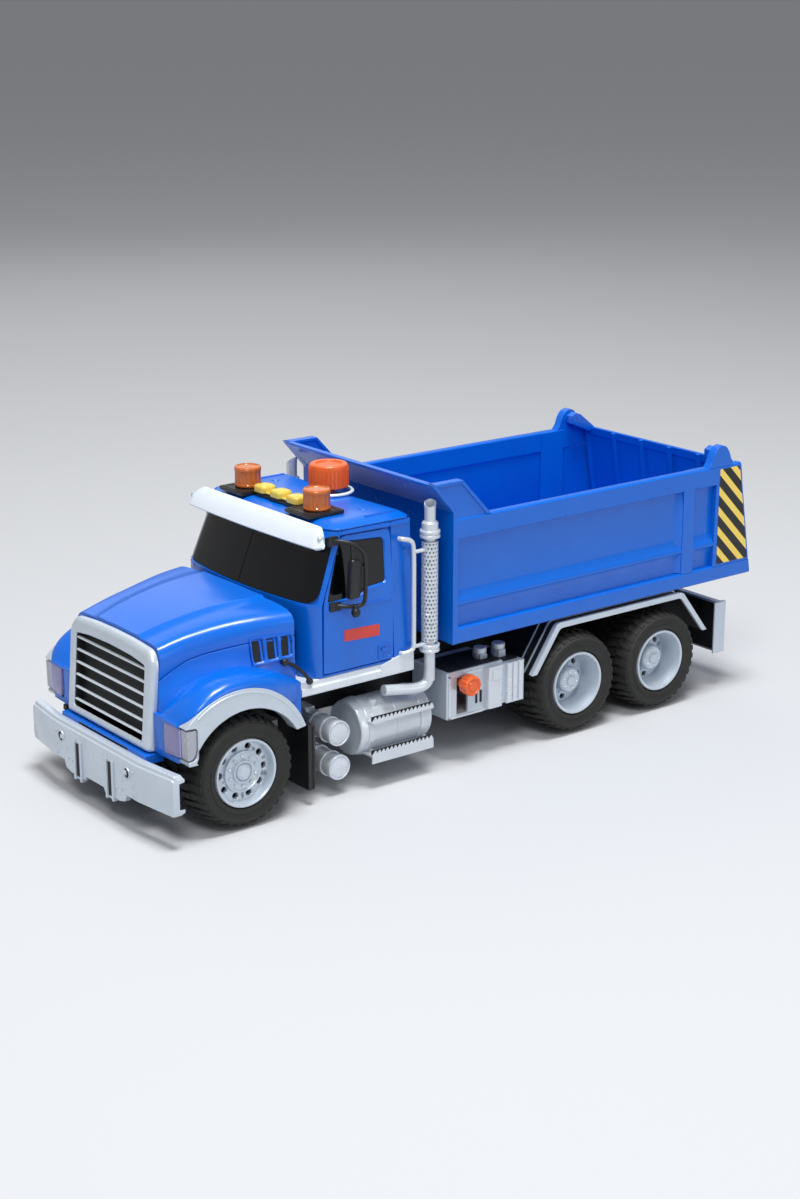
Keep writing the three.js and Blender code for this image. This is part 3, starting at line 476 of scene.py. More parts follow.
def node(tree, kind, links=None, **settings):
    """Adds a node. links gives each input its source socket or its value."""
    made = tree.nodes.new(kind)
    for name, value in settings.items():
        setattr(made, name, value)
    for socket, source in (links or {}).items():
        if isinstance(source, bpy.types.NodeSocket):
            tree.links.new(source, made.inputs[socket])
        else:
            made.inputs[socket].default_value = source
    return made


def per_mm(size):
    """A noise scale for marks of the given size in millimetres."""
    return 1000 / size


def finish(name, colour, shade, roughness, grain=0.6, relief=0.02, swing=0.06, metallic=0.0,
           coat=0.0, ior=1.5, wide=18.0, transmission=0.0, scratch=0.0):
    """A moulded or painted surface, from its own object coordinates.

    colour drifts to shade over wide marks, roughness swings about its middle
    over the same marks, and a grain of the given size in mm lifts the surface.
    """
    material = bpy.data.materials.new(name)
    material.use_nodes = True
    tree = material.node_tree
    shader = tree.nodes["Principled BSDF"]
    at = node(tree, "ShaderNodeTexCoord").outputs["Object"]
    drift = node(tree, "ShaderNodeTexNoise", {"Vector": at, "Scale": per_mm(wide),
                                              "Detail": 4.0}).outputs["Fac"]
    fine = node(tree, "ShaderNodeTexNoise", {"Vector": at, "Scale": per_mm(grain),
                                             "Detail": 2.0}).outputs["Fac"]
    mix = node(tree, "ShaderNodeMix", {0: drift, 6: linear(colour), 7: linear(shade)}, data_type="RGBA")
    tree.links.new(mix.outputs[2], shader.inputs["Base Color"])
    rough = node(tree, "ShaderNodeMapRange", {"Value": drift, "From Min": 0.3, "From Max": 0.7,
                                              "To Min": roughness - swing, "To Max": roughness + swing})
    rough_out = rough.outputs[0]
    if scratch:
        stretched = node(tree, "ShaderNodeMapping", {"Vector": at, "Scale": (1, 12, 12)}).outputs[0]
        lines = node(tree, "ShaderNodeTexNoise", {"Vector": stretched, "Scale": per_mm(6),
                                                  "Detail": 6.0}).outputs["Fac"]
        rough_out = node(tree, "ShaderNodeMath", {0: rough_out, 1: node(tree, "ShaderNodeMath", {
            0: lines, 1: scratch}, operation="MULTIPLY").outputs[0]}, operation="ADD").outputs[0]
    tree.links.new(rough_out, shader.inputs["Roughness"])
    bump = node(tree, "ShaderNodeBump", {"Height": fine, "Strength": 0.5, "Distance": relief / 1000})
    tree.links.new(bump.outputs[0], shader.inputs["Normal"])
    shader.inputs["Metallic"].default_value = metallic
    shader.inputs["Coat Weight"].default_value = coat
    shader.inputs["Coat Roughness"].default_value = 0.12
    shader.inputs["Transmission Weight"].default_value = transmission
    if not metallic:
        shader.inputs["IOR"].default_value = ior
    return material


# ABS moulded in a polished tool: an even deep blue with soft sheen and faint flow marks
BLUE = finish("blue_abs_moulded", "#006AD8", "#0060CC", 0.25, relief=0.005, swing=0.03, ior=1.54)
# ABS sprayed with a silver-white paint: pale, a little metal flake under a soft gloss
SILVER = finish("silver_paint_on_abs", "#D0DAE4", "#C0CBD7", 0.32, grain=0.35, relief=0.02, metallic=0.35)
# a whiter paint on the visor and the sill
WHITE = finish("white_paint_on_abs", "#E2E9F0", "#D3DCE6", 0.32, grain=0.5, ior=1.54, coat=0.1)
# chrome-look silver on the tanks and the stacks, brushed by the mould's polish lines
BRIGHT = finish("bright_silver_on_abs", "#DFE5EC", "#CBD3DC", 0.27, grain=0.5, metallic=0.35, scratch=0.08)
# black ABS with a spark-eroded grain: dull, dark grey in the light
BLACK = finish("black_abs_eroded", "#101113", "#17181B", 0.44, grain=0.5, relief=0.04, ior=1.54)
# black ABS polished like glass: mirrors the studio
GLASS = finish("black_abs_polished", "#050607", "#08090B", 0.06, relief=0.002, swing=0.02, ior=1.49)
# deep black inside holes and slots; also the painted shade of the strips behind the step teeth, the pads over the box
# lids and the strips on the bumper brackets
DEEP = finish("black_abs_recess", "#0A0B0D", "#101215", 0.7, ior=1.54)
# orange ABS from a polished tool: a warm flat colour with a soft gloss
ORANGE = finish("orange_abs_moulded", "#F0682A", "#E65F24", 0.33, coat=0.1, ior=1.54)
# soft PVC tyre: near black, dusty grey on its high spots, very dull
RUBBER = finish("pvc_tyre_moulded", "#1B1B1A", "#2A2A28", 0.72, grain=0.8, relief=0.08, swing=0.1, wide=7,
                ior=1.5)
# amber polycarbonate lens: lets light through and keeps a bright gloss
AMBER = finish("amber_polycarbonate", "#F08436", "#E0701F", 0.12, relief=0.004, swing=0.03, ior=1.585,
               transmission=0.35)
# the beacon's moulded inner post: brown-orange and dull, a dark core behind the lens
AMBER_CORE = finish("amber_reflector", "#A54A14", "#7C3410", 0.35)
# pale yellow polycarbonate: milky, with a bright gloss on its domed tops
YELLOW = finish("yellow_polycarbonate", "#F7DC66", "#EFCF55", 0.14, relief=0.004, swing=0.03, ior=1.585,
                transmission=0.2)
# clear polystyrene headlight, with a faint violet tint
CLEAR = finish("clear_polystyrene", "#C6C0F2", "#BAB4EE", 0.06, relief=0.003, swing=0.02, ior=1.59,
               transmission=0.6)
# vacuum-chromed bowl with a violet cast: a blurred mirror behind the lens
REFLECTOR = finish("chromed_reflector", "#B4B4EA", "#9C9EDC", 0.18, relief=0.01, metallic=0.8)
# turned and drawn steel of axles, pins, screws and springs
STEEL = finish("drawn_steel", "#B9BCC0", "#9DA1A6", 0.30, grain=0.3, metallic=1.0, scratch=0.12)
# glass-epoxy circuit board: even green with a dull lacquer
BOARD = finish("green_epoxy_board", "#2C6B3A", "#235C30", 0.45, wide=5)
# shrink-wrapped cells: dark, slightly metallic film
CELL = finish("wrapped_cell", "#3A3D44", "#4A4E57", 0.30, metallic=0.3, wide=9)
# frosted polystyrene corner lamp: grey and milky, with no clear reflection
FROST = finish("frosted_polystyrene", "#C9CBD6", "#B7B9C8", 0.28, relief=0.01, ior=1.59, transmission=0.25)
# red vinyl sticker: flat colour under a thin satin film
PLAIN_LABEL = finish("red_vinyl_label", "#D5433A", "#C93B33", 0.35, grain=0.4)


def hazard_vinyl():
    """Printed vinyl: black and yellow bars at a slope, 11.6 mm apart in height."""
    material = finish("hazard_vinyl", "#F8DC6A", "#F4D35A", 0.34, grain=0.4)
    tree = material.node_tree
    shader = tree.nodes["Principled BSDF"]
    parts = node(tree, "ShaderNodeSeparateXYZ", {0: node(tree, "ShaderNodeTexCoord").outputs["Object"]})
    across = node(tree, "ShaderNodeMath", {0: parts.outputs[0], 1: 1.0, 2: parts.outputs[2]},
                  operation="MULTIPLY_ADD")
    turns = node(tree, "ShaderNodeMath", {0: across.outputs[0], 1: per_mm(11.6), 2: -0.2},
                 operation="MULTIPLY_ADD")
    wave = node(tree, "ShaderNodeMath", {0: turns.outputs[0]}, operation="FRACT")
    dark = node(tree, "ShaderNodeMapRange", {"Value": node(tree, "ShaderNodeMath", {
        0: wave.outputs[0], 1: 0.5, 2: 0.5}, operation="PINGPONG").outputs[0],
        "From Min": 0.20, "From Max": 0.23})
    yellow = shader.inputs["Base Color"].links[0].from_socket
    bars = node(tree, "ShaderNodeMix", {0: dark.outputs[0], 6: yellow, 7: linear("#16171A")},
                data_type="RGBA")
    tree.links.new(bars.outputs[2], shader.inputs["Base Color"])
    return material


HAZARD = hazard_vinyl()

SLOTS = {name: slot for slot, names in {
    "body_blue": ["blue_abs_moulded"],
    "trim_silver": ["silver_paint_on_abs", "bright_silver_on_abs"],
    "trim_white": ["white_paint_on_abs"],
    "frame_black": ["black_abs_eroded", "black_abs_recess"],
    "glass_black": ["black_abs_polished"],
    "orange": ["orange_abs_moulded", "red_vinyl_label"],
    "tyre": ["pvc_tyre_moulded"],
    "amber_lens": ["amber_polycarbonate", "amber_reflector"],
    "yellow_lens": ["yellow_polycarbonate", "hazard_vinyl"],
    "lamp_lens": ["clear_polystyrene", "chromed_reflector", "frosted_polystyrene"],
    "steel": ["drawn_steel", "wrapped_cell"],
    "board": ["green_epoxy_board"],
}.items() for name in names}

# ------------------------------------------------------------------ dump bed


def rear_at(z):
    """Station of the bed's leaning rear edge at a height."""
    return BED_REAR - (np.asarray(z, float) - BED_LOW) * BED_LEAN / (BED_HIGH - BED_LOW)


def bed_wall():
    """The left wall: one section of (height, depth from the outer plane),
    carried from the front to the leaning rear edge. A ridge runs along the
    panel, and a post, a ramp up to it and a rear field divide it."""
    section = np.array([
        (67.9, 0.7), (68.7, 0), (75.8, 0), (76.7, 0.8), (76.9, 3.2), (78.4, 3.4), (84.5, 2.9), (88.0, 1.3),
        (89.2, 0.35),
        (90.2, 0.3), (91.4, 0.8), (94.8, 3.1), (96.4, 3.3), (122.6, 3.3), (123.6, 3.0), (123.9, 0.8),
        (124.8, 0),
        (134.3, 0), (135.2, 0.9), (135.2, 4.5), (134.5, 5.2), (123.6, 5.2), (122.4, 4.1), (68.4, 4.1),
        (67.9, 3.8)])
    z, y = section[:, 0], -BED_HALF + section[:, 1]
    share = np.linspace(0, 1, 9)[:, None]
    x = (BED_FRONT + 0.3) * (1 - share) + (rear_at(z) - 0.2) * share
    wall = grid(np.stack([x, np.broadcast_to(y, x.shape), np.broadcast_to(z, x.shape)], -1), wrap_v=True,
                caps=True)
    out = -BED_HALF
    cheek = [(BED_FRONT, 134), (200.6, 134), (182.9, 154.6), (164.4, 154.6), (164.0, 154.1),
             (BED_FRONT, 139.6)]
    tops = np.array([(164.0, 155.05), (183.5, 155.05), (202.4, 134.9), (199.6, 134.9), (182.6, 153.5),
                     (165.4, 153.5)])
    leaning = np.array([(163.4, 155.05), (BED_FRONT - 0.05, 138.8), (BED_FRONT - 0.05, BED_LOW + 0.1),
                        (BED_FRONT + 1.9, BED_LOW + 0.1), (BED_FRONT + 1.9, 139.8), (165.6, 155.05)])
    posts = [
        prism([(BED_FRONT + 1.5, BED_LOW + 0.3), (180.9, BED_LOW + 0.3), (180.9, 134.6),
               (BED_FRONT + 1.5, 134.6)],
              out + 0.12, out + 4.4),
        prism([(343.4, 76.2), (352.6, 76.2), (352.2, 125.2), (343.6, 125.2)], out + 0.1, out + 4),
        prism([(368.6, 76.2), (rear_at(76.2) - 0.4, 76.2), (rear_at(125.2) - 0.4, 125.2), (369.4, 125.2)],
              out + 0.1, out + 4.7),
    ]
    ramp = np.array([(338.6, 3.5), (343.9, 0.6), (343.9, 4), (338.6, 4)])
    levels = [(77.0, 0.0), (96, 0.0), (116, 0.0), (124.4, 2.2)]
    ramps = [grid(np.array([np.stack([ramp[:, 0] + move, out + ramp[:, 1], np.full(4, z)], -1)
                            for z, move in levels]),
                  wrap_v=True, caps=True)]
    pillar = prism([(349.5, 71), (367.6, 71), (366.6, 134.8), (349.5, 134.8)], out + 4.2, out + 6.2)
    ear = [(EAR_X - 10.5, 134.6), (EAR_X - 8, 137.4), (EAR_X - 6.1, 142.4), (EAR_X - 3.4, 145.9),
           (EAR_X, 147),
           (EAR_X + 3.4, 145.9), (EAR_X + 6.1, 142.4), (EAR_X + 8, 137.4), (EAR_X + 9.6, 134.6)]
    ears = [prism(rounded(ear, 1.2, 2), out + 0.06, out + 5.14),
            turned([(0, 5.2), (4.4, 5.2), (4.4, 5.9), (3.9, 6.3), (0, 6.3)], (EAR_X, out - 0.9, EAR_Z),
                   n=28)]
    rails = [prism(cheek, out + 0.8, out + 4.4), prism(tops, out + 0.03, out + 5.24),
             prism(leaning, out + 0.02, out + 5.0)]
    return [wall, *rails, *posts, *ramps, pillar, *ears]


def bed_middle():
    """The floor, the front panel whose top leans forward into the canopy, its
    stiffening ribs and the two lugs below."""
    w = BED_HALF - 4.4
    bend = 139.0
    bulkhead = [(BED_FRONT + 0.3, BED_LOW + 0.2), (BED_FRONT + 2.8, BED_LOW + 0.2),
                (BED_FRONT + 2.8, bend + 0.8),
                (166.4, 154.7), (165.6, 155.0), (163.9, 155.0), (163.9, 154.4),
                (BED_FRONT + 0.3, bend - 0.2)]
    floor = block(BED_FRONT + 0.5, BED_REAR - 6.6, -w, w, BED_LOW, BED_LOW + 2.6)
    edge = prism([(163.45, 155.05), (163.45, 153.9), (164.3, 153.2), (167.0, 153.9), (167.0, 155.05)],
                 -w, w)
    ribs = [block(BED_FRONT, BED_FRONT + 0.6, y - 1.1, y + 1.1, 72, 134) for y in (-44, -22, 0, 22, 44)]
    lugs = [prism([(366.5, 69), (366.5, 61), (368.2, 57.1), (372, 55.5), (375.8, 57.1), (377.5, 61),
                   (377.5, 69)],
                  y, y + 5.2) for y in (-19.2, 14)]
    return [prism(bulkhead, -w, w), floor, edge, *lugs, *ribs]


def tail_gate():
    """The tailgate: a leaning panel with upright ribs on both faces, its top
    and bottom rails, its two hook arms and its pins."""
    half, low, high = BED_HALF - 5.9, BED_LOW + 1.6, BED_HIGH - 0.2

    def leaned(y, z, depth):
        """depth runs forward from the gate's outer face."""
        return np.stack([rear_at(z) - 0.6 - depth, y, z], -1)

    def slab(y0, y1, z0, z1, d0, d1):
        """A leaning block between two depths."""
        y = np.array([y0, y1, y1, y0], float)
        z = np.array([z0, z0, z1, z1], float)
        return grid(np.array([leaned(y, z, np.full(4, float(d))) for d in (d0, d1)]), wrap_v=True,
                    caps=True)

    parts = [slab(-half, half, low + 0.1, high - 0.1, 0.8, 1.8)]
    parts += [slab(-half + 0.05, half - 0.05, low, low + 8, 0.05, 3.9),
              slab(-half + 0.05, half - 0.05, high - 5, high, 0.05, 2.6)]
    width = 2.6
    pitch = (2 * half - width) / 5
    parts += [slab(-half + k * pitch, -half + k * pitch + width, low + 0.2, high - 0.3, 0.0, 4.4)
              for k in range(6)]
    arm = [(EAR_X + 4, EAR_Z - 4.6), (rear_at(high) - 4.6, high - 2.4), (rear_at(high) - 0.6, high),
           (EAR_X + 4, EAR_Z + 3.6), (EAR_X, EAR_Z + 5.0), (EAR_X - 3.6, EAR_Z + 3.2),
           (EAR_X - 3.6, EAR_Z - 1.4)]
    pin = turned([(0, half - 1), (2, half - 1), (2, BED_HALF - 0.4), (0, BED_HALF - 0.4)],
                 (EAR_X, 0, EAR_Z), n=20)
    return parts + both(prism(arm, half - 5, half), pin)


piece("bed_tub_body", both(*bed_wall()) + bed_middle(), BLUE, "bed", ["bed_tub"], bevel=0.45)
piece("tailgate_panel", tail_gate(), BLUE, "tailgate", ["tailgate"], bevel=0.4)


def hazard_labels():
    """A thin label on each rear corner of the bed, with clipped corners."""
    outline = rounded([(371.6, 77.6), (rear_at(77.6) - 1.6, 77.6), (rear_at(133) - 1.6, 133.2),
                       (371.6, 133.2)], 1.0, 3)
    return filled(outline, flat(-BED_HALF - 0.12), 0.3, rings=3, edge=0.1)


piece("hazard_labels", both(hazard_labels()), HAZARD, "bed", bevel=0)

# ------------------------------------------------------------------ cab


def lean(z):
    """Station of the windshield's middle at a height: upright below the cowl,
    then sloping back."""
    return GLASS_FOOT + np.maximum(np.asarray(z, float) - COWL, 0) * GLASS_LEAN


def narrowed(points):
    """The cab draws in by a twentieth from the cowl up to the eaves."""
    points = np.array(points, float)
    share = np.clip((points[..., 2] - COWL) / (EAVES - COWL), 0, 1.15)
    points[..., 1] *= 1 - 0.05 * share
    return points


def skin(s, z, depth):
    """A point of the cab's front wrap. s runs across, and past 47 mm it turns
    the corner: x = middle + 4 (s / 47) squared, then a quadratic curve that
    ends on the side plane 12 mm behind the glass."""
    a = np.abs(s)
    t = np.clip((a - 47) / 16, 0, 1)
    x = np.where(a < 47, 4 * (a / 47) ** 2, bend(4, 7.0, 12, t))
    y = np.where(a < 47, a, bend(47, CAB_HALF, CAB_HALF, t))
    nx, ny = -np.cos(t * 1.4), np.sin(t * 1.4)
    x, y = x + lean(z) + nx * depth, y + ny * depth
    return narrowed(np.stack([x, np.sign(s) * y, z], -1))


def side_skin(side):
    """The cab's side plane, drawn in towards the eaves."""
    place_flat = flat(side * CAB_HALF)
    return lambda a, b, depth: narrowed(place_flat(a, b, depth))


def cab_core():
    """The cab's inner shell, 1.4 mm under the skin: plan outlines stacked
    from the sill to the eaves."""
    s = np.concatenate([np.linspace(-63, -47, 7), np.linspace(-40, 40, 9), np.linspace(47, 63, 7)])
    heights = [SILL, 80, 98, COWL, 112, 124, EAVES - 0.2]
    rings = []
    for z in heights:
        front = skin(s, np.full(len(s), float(z)), np.full(len(s), -1.5))
        front[:, 0] = np.maximum(front[:, 0], 86.8)
        y = front[-1, 1]
        back = np.array([[CAB_REAR - 3.0, y, z], [CAB_REAR - 1.0, y - 2, z],
                         [CAB_REAR - 1.0, -y + 2, z], [CAB_REAR - 3.0, -y, z]], float)
        rings.append(np.concatenate([front, back]))
    return grid(np.array(rings), wrap_v=True, caps=True)


WINDOW = rounded([(103.6, 102.6), (124.6, 103.6), (127.8, 106.4), (140, 107.4), (140, 130.2),
                  (112.6, 132.0)],
                 [2.0, 2.0, 2.0, 2.2, 2.6, 2.6], 4)
DOOR = rounded([(100.6, 66), (144.2, 66), (144.2, 134.2), (113.4, 134.8), (101.2, 103)], [2, 2, 4, 3, 3], 3)


def cab_sides():
    """The left side's skin: the door with its window, and the panels ahead
    of, above and behind it, each with a fine gap round it."""
    where = side_skin(-1)
    door = holed(DOOR, WINDOW, where, 1.5, lip=0.7)
    behind = prism_on([(145.0, SILL), (CAB_REAR, SILL), (CAB_REAR, EAVES), (145.0, EAVES)], where, 1.5)
    above = prism_on([(114.2, 135.5), (144.4, 134.9), (144.4, EAVES), (115, EAVES)], where, 1.5)
    below = prism_on([(100.2, SILL), (144.4, SILL), (144.4, 65.3), (100.2, 65.3)], where, 1.5)
    return [door, behind, above, below]


def prism_on(outline, where, depth, up=0.0):
    """An outline laid on a curved surface, with a given thickness."""
    p = np.asarray(outline, float)
    n = len(p)
    return grid(np.array([where(p[:, 0], p[:, 1], np.full(n, d)) for d in (up, -depth)]), wrap_v=True,
                caps=True)


def strip_on(left, right, where, depth, n=10, m=8):
    """A strip of the surface between two borders, each a pair of (s, z) ends,
    as a closed sheet: the outer grid, then the same grid at the depth."""
    u, v = np.linspace(0, 1, n)[:, None], np.linspace(0, 1, m)[None, :]
    (s0, z0), (s1, z1) = left
    (s2, z2), (s3, z3) = right
    s = (s0 + (s1 - s0) * v) * (1 - u) + (s2 + (s3 - s2) * v) * u
    z = (z0 + (z1 - z0) * v) * (1 - u) + (z2 + (z3 - z2) * v) * u
    outer, inner = where(s, z, np.zeros_like(s)), where(s, z, np.full_like(s, -depth))
    loop = np.concatenate([outer, inner[:, ::-1]], 1)
    return grid(loop, wrap_v=True, caps=True)


def pillars():
    """The blue frame round the windshield: the two corner pillars, the strip
    over the glass and the cowl below it."""
    pillar = strip_on([(-62.6, 101), (-62.6, 134)], [(-58.4, 101), (-58.0, 134)], skin, 1.5, 6, 10)
    foot = strip_on([(-62.6, SILL), (-62.6, 101.4)], [(-47.0, SILL), (-47.0, 101.4)], skin, 1.5, 12, 8)
    cowl = strip_on([(-58.6, 96), (-58.6, 102.7)], [(58.6, 96), (58.6, 102.7)], skin, 1.45, 33, 3)
    lower = strip_on([(-47.4, 88), (-47.4, 96.4)], [(47.4, 88), (47.4, 96.4)], skin, 1.5, 21, 3)
    head = strip_on([(-62.6, 134), (-62.6, EAVES)], [(62.6, 134), (62.6, EAVES)], skin, 1.5, 25, 3)
    return [*both(pillar, foot), cowl, lower, head]


def windshield():
    """Two panes that meet in a fine line, bowed across, leaning back and bent
    round the corners. Each is a grid from its foot, whose outer corner is
    rounded off, up to its head."""
    s = -0.25 - np.concatenate([np.linspace(0, 46, 14), np.linspace(47.5, 57.6, 12)])
    corner = np.clip((-s - 50.5) / 7.35, 0, 1)
    foot = 103.1 + 5.5 * (1 - np.sqrt(1 - corner ** 2))
    v = np.linspace(0, 1, 10)
    z = foot[:, None] * (1 - v) + 133.9 * v
    S = np.broadcast_to(s[:, None], z.shape)
    outer, inner = skin(S, z, np.full(z.shape, -0.3)), skin(S, z, np.full(z.shape, -1.6))
    return both(grid(np.concatenate([outer, inner[:, ::-1]], 1), wrap_v=True, caps=True))


def side_glass():
    """The door's pane, just smaller than its opening and set back 0.75 mm."""
    glass = WINDOW.mean(0) + (WINDOW - WINDOW.mean(0)) * 0.992
    where = side_skin(-1)
    return both(filled(glass, lambda a, b, d: where(a, b, d - 0.75), 0.8, rings=3, edge=0.2))


def window_bar():
    """The quarter light's black divider."""
    where = side_skin(-1)
    bar = prism_on([(119.4, 103.6), (120.8, 103.6), (121.4, 131.0), (120.0, 131.0)], lambda a, b,
                   d: where(a, b, d - 0.35), 0.6)
    return both(bar)


def roof_shell():
    """The roof: outlines stacked from the eaves to the crown, drawn in by
    0, 0.5, 5 and 9 mm, and closed over the top with a slight dome."""
    s = np.concatenate([np.linspace(-63, -47, 6), np.linspace(-39, 39, 9), np.linspace(47, 63, 6)])
    rings = []
    for z, inset in ((EAVES + 0.35, 1.0), (EAVES + 0.35, -0.05), (EAVES + 1.1, -0.05), (EAVES + 2.0, 1.8),
                     (EAVES + 3.2, 5.4), (ROOF - 0.35, 8.4), (ROOF - 0.06, 12.0), (ROOF - 0.02, 24.0)):
        front = skin(s, np.full(len(s), EAVES), np.zeros(len(s)))
        y = abs(front[-1, 1])
        x1 = CAB_REAR
        back = np.array([[x1 - 2, y, z], [x1, y - 2, z], [x1, 0, z], [x1, -y + 2, z], [x1 - 2, -y, z]],
                        float)
        ring = np.concatenate([front, back])
        ring[:, 2] = z
        middle = np.array([130.0, 0, z])
        reach = np.linalg.norm((ring - middle)[:, :2], axis=1, keepdims=True)
        ring[:, :2] = (middle + (ring - middle) * (1 - inset / reach))[:, :2]
        rings.append(ring)
    return grid(np.array(rings), wrap_v=True, caps=True)


def roof_details():
    """Two shallow ribs along the roof's rear and a screw boss at each side."""
    ribs = both(prism(soft_panel(133, -50.5, 153, -48.6, 0.8, 3), ROOF - 1.4, ROOF - 0.1, "z"))
    boss = both(rod((140, -39, 0), 2.2, ROOF - 0.6, ROOF + 0.35, "z", 20))
    return ribs + boss


def visor():
    """The sun visor: a bowed sheet from its low front edge up to the roof,
    with slanted ends."""
    v = np.linspace(0, 1, 9)
    u = np.linspace(-1, 1, 41)
    U, V = np.meshgrid(u, v, indexing="ij")
    half = 60.4 - 8.2 * V ** 1.4
    end = np.clip((np.abs(U) - 0.95) / 0.05, 0, 1)
    y = U * half
    x = 95.0 + 8.6 * V + 1.6 * np.abs(U) ** 3 * (1 - V) + 2.2 * end ** 2 * (1 - V)
    z = 131.6 + 9.4 * V ** 0.92 + 0.9 * np.sin(np.pi * V) - 0.4 * (1 - np.abs(U)) * (1 - V)
    z = z + end ** 2 * 0.9 * (1 - V) ** 2
    outer = np.stack([x, y, z], -1)
    inner = outer + (1.5, 0, -1.1)
    sheet = grid(np.concatenate([outer, inner[:, ::-1]], 1), wrap_v=True, caps=True)
    return [sheet]


def visor_bolts():
    """A domed screw at each end of the visor."""
    screw = turned([(0, -1.1), (1.1, -1.1), (1.7, -0.5), (1.7, 0.6), (0, 0.6)], (100.2, -57.6, 136.0), n=20)
    return both(screw)


def door_fittings():
    """Handle recess and belt line on the left door."""
    where = side_skin(-1)
    tray = holed(soft_panel(134.6, 74.8, 142.8, 66.9, 1.0, 3),
                 soft_panel(135.6, 73.8, 141.8, 67.9, 0.8, 3),
                 lambda a, b, d: where(a, b, d + 0.4), 0.6, lip=0.3, n=24)
    pull = prism_on(soft_panel(136.8, 72.6, 140.6, 70.9, 0.5, 2),
                    lambda a, b, d: where(a, b, d + 0.6), 0.7)
    belt = prism_on([(101.6, 98.2), (143.2, 97.8), (143.2, 98.5), (101.6, 98.9)], lambda a, b,
                    d: where(a, b, d + 0.3), 0.5)
    rain = prism_on([(113.0, 135.7), (156.6, 135.3), (156.6, 136.5), (114.0, 136.9)],
                    lambda a, b, d: where(a, b, d + 0.55), 0.7)
    return both(tray, pull, belt, rain)


piece("cab_shell_body", [cab_core(), *both(*cab_sides()), *pillars()] + door_fittings(), BLUE, "chassis",
      ["cab_shell"], bevel=0.22)
piece("cab_windows", windshield() + side_glass(), GLASS, "chassis", ["cab_glazing"], bevel=0)
piece("cab_window_bars", window_bar(), BLACK, "chassis", bevel=0.1)
piece("roof_shell", [roof_shell()] + roof_details(), BLUE, "chassis", ["roof_panel"], bevel=0.3)
piece("sun_visor_sheet", visor(), WHITE, "chassis", ["sun_visor"], bevel=0.3)
piece("sun_visor_bolts", visor_bolts(), SILVER, "chassis", bevel=0)
piece("door_labels", both(filled(rounded([(113.4, 86.8), (135.4, 86.0), (135.4, 80.0), (113.4, 80.8)], 0.4,
                                         2),
                                 lambda a, b, d: side_skin(-1)(a, b, d + 0.18), 0.3, rings=3, edge=0.1)),
      PLAIN_LABEL, "chassis", bevel=0)


def sill():
    """The white sill: a stepped rail below the door, with a foot tread."""
    out = -59.3
    section = [(out + 3, 57.0), (out + 0.4, 57.0), (out, 57.6), (out, 60.8), (out + 1.2, 61.6),
               (out + 1.2, 63.8),
               (out + 1.8, 64.2), (out + 6, 64.2), (out + 6, 57.0)]
    rail = prism(section, 86.6, CAB_REAR, "x")
    floor = block(86.4, CAB_REAR - 0.2, -54, 54, 57.2, 64.1)
    treads = [block(x, x + 1.1, out - 0.05, out + 1.0, 58.2, 60.2) for x in np.arange(101, 150, 3.2)]
    heel = prism(rounded([(136.0, 63.5), (144.0, 65.6), (149.2, 67.0), (CAB_REAR - 0.05, 67.2),
                          (CAB_REAR - 0.05, 57.3), (136.0, 57.3)],
                         [0.5, 3, 2, 0.5, 0.5, 0.5], 3), out + 0.05, out + 3)
    return both(rail, heel, *treads) + [floor]


piece("sill_rails", sill(), WHITE, "chassis", ["cab_floor"], bevel=0.25)

# ------------------------------------------------------------------ roof lights


def light_pads():
    """The black pads under the beacons, joined by a narrow bridge."""
    z0, z1 = ROOF + 0.3, ROOF + 1.9
    pad = prism(soft_panel(105, -41, 127.5, -19, 1.6, 3), z0, z1, "z")
    tray = holed(soft_panel(106.2, -39.8, 126.3, -20.2, 1.2, 3),
                 soft_panel(108, -38, 124.6, -22, 1.0, 3),
                 lambda a, b, d: np.stack([a, b, z1 + 0.25 + d], -1), 0.5, lip=0.25, n=32)
    bridge = block(112.5, 122.5, -19.4, 19.4, z0, z1 - 0.2)
    return both(pad, tray) + [bridge]


def beacon_lens():
    """A beacon: a fluted drum, its radius rippling with the angle, under a
    stepped lid."""
    z0 = ROOF + 2.2
    n = 96
    angle = np.arange(n) * 2 * np.pi / n
    levels = [(0, 0, 0), (6.6, 0, 0), (7.0, 0.4, 0), (7.0, 1.2, 0), (6.7, 1.6, 0.25), (6.7, 8.0, 0.25),
              (7.1, 8.5, 0),
              (7.1, 9.8, 0), (6.6, 10.5, 0), (5.3, 10.7, 0), (5.0, 10.3, 0), (0, 10.3, 0)]
    rows = []
    for r, z, ripple in levels:
        radius = r + ripple * np.cos(angle * 16)
        rows.append(np.stack([BEACON[0] + radius * np.cos(angle), BEACON[1] + radius * np.sin(angle),
                              np.full(n, z0 + z)], -1))
    return grid(np.array(rows), wrap_v=True)


def beacon_core():
    """The reflector seen through the lens: a waisted post with four fins."""
    z0 = ROOF + 2.4
    post = turned([(0, 0.2), (4.2, 0.2), (4.0, 1.6), (2.0, 3.6), (2.0, 6.4), (3.6, 8.4), (3.6, 9.2),
                   (0, 9.2)],
                  (*BEACON, z0), "z", 24)
    fins = round_about(block(113, 121, -31.35, -30.65, z0 + 1, z0 + 8.4), (*BEACON, 0), 4, "z", 0.4)
    return [post, *fins[:2]]


def roof_lamps():
    """Three moulded lamps: rounded blocks, domed on top, on one strip."""
    z0 = ROOF + 2.2
    outline = soft_panel(-4.6, -5.0, 4.6, 5.0, 2.8, 6)
    lamps = []
    for k in (-1, 0, 1):
        rows = [np.column_stack([outline * s + (116.6, k * 14.6), np.full(len(outline), z0 + z)])
                for s, z in ((0, 0), (1, 0), (1, 2.4), (0.96, 3.1), (0.84, 3.7), (0.6, 4.0), (0.3, 4.1),
                             (0, 4.1))]
        lamps.append(grid(np.array(rows), wrap_v=True))
    return [*lamps, block(113.6, 119.6, -14.6, 14.6, z0, z0 + 0.9)]


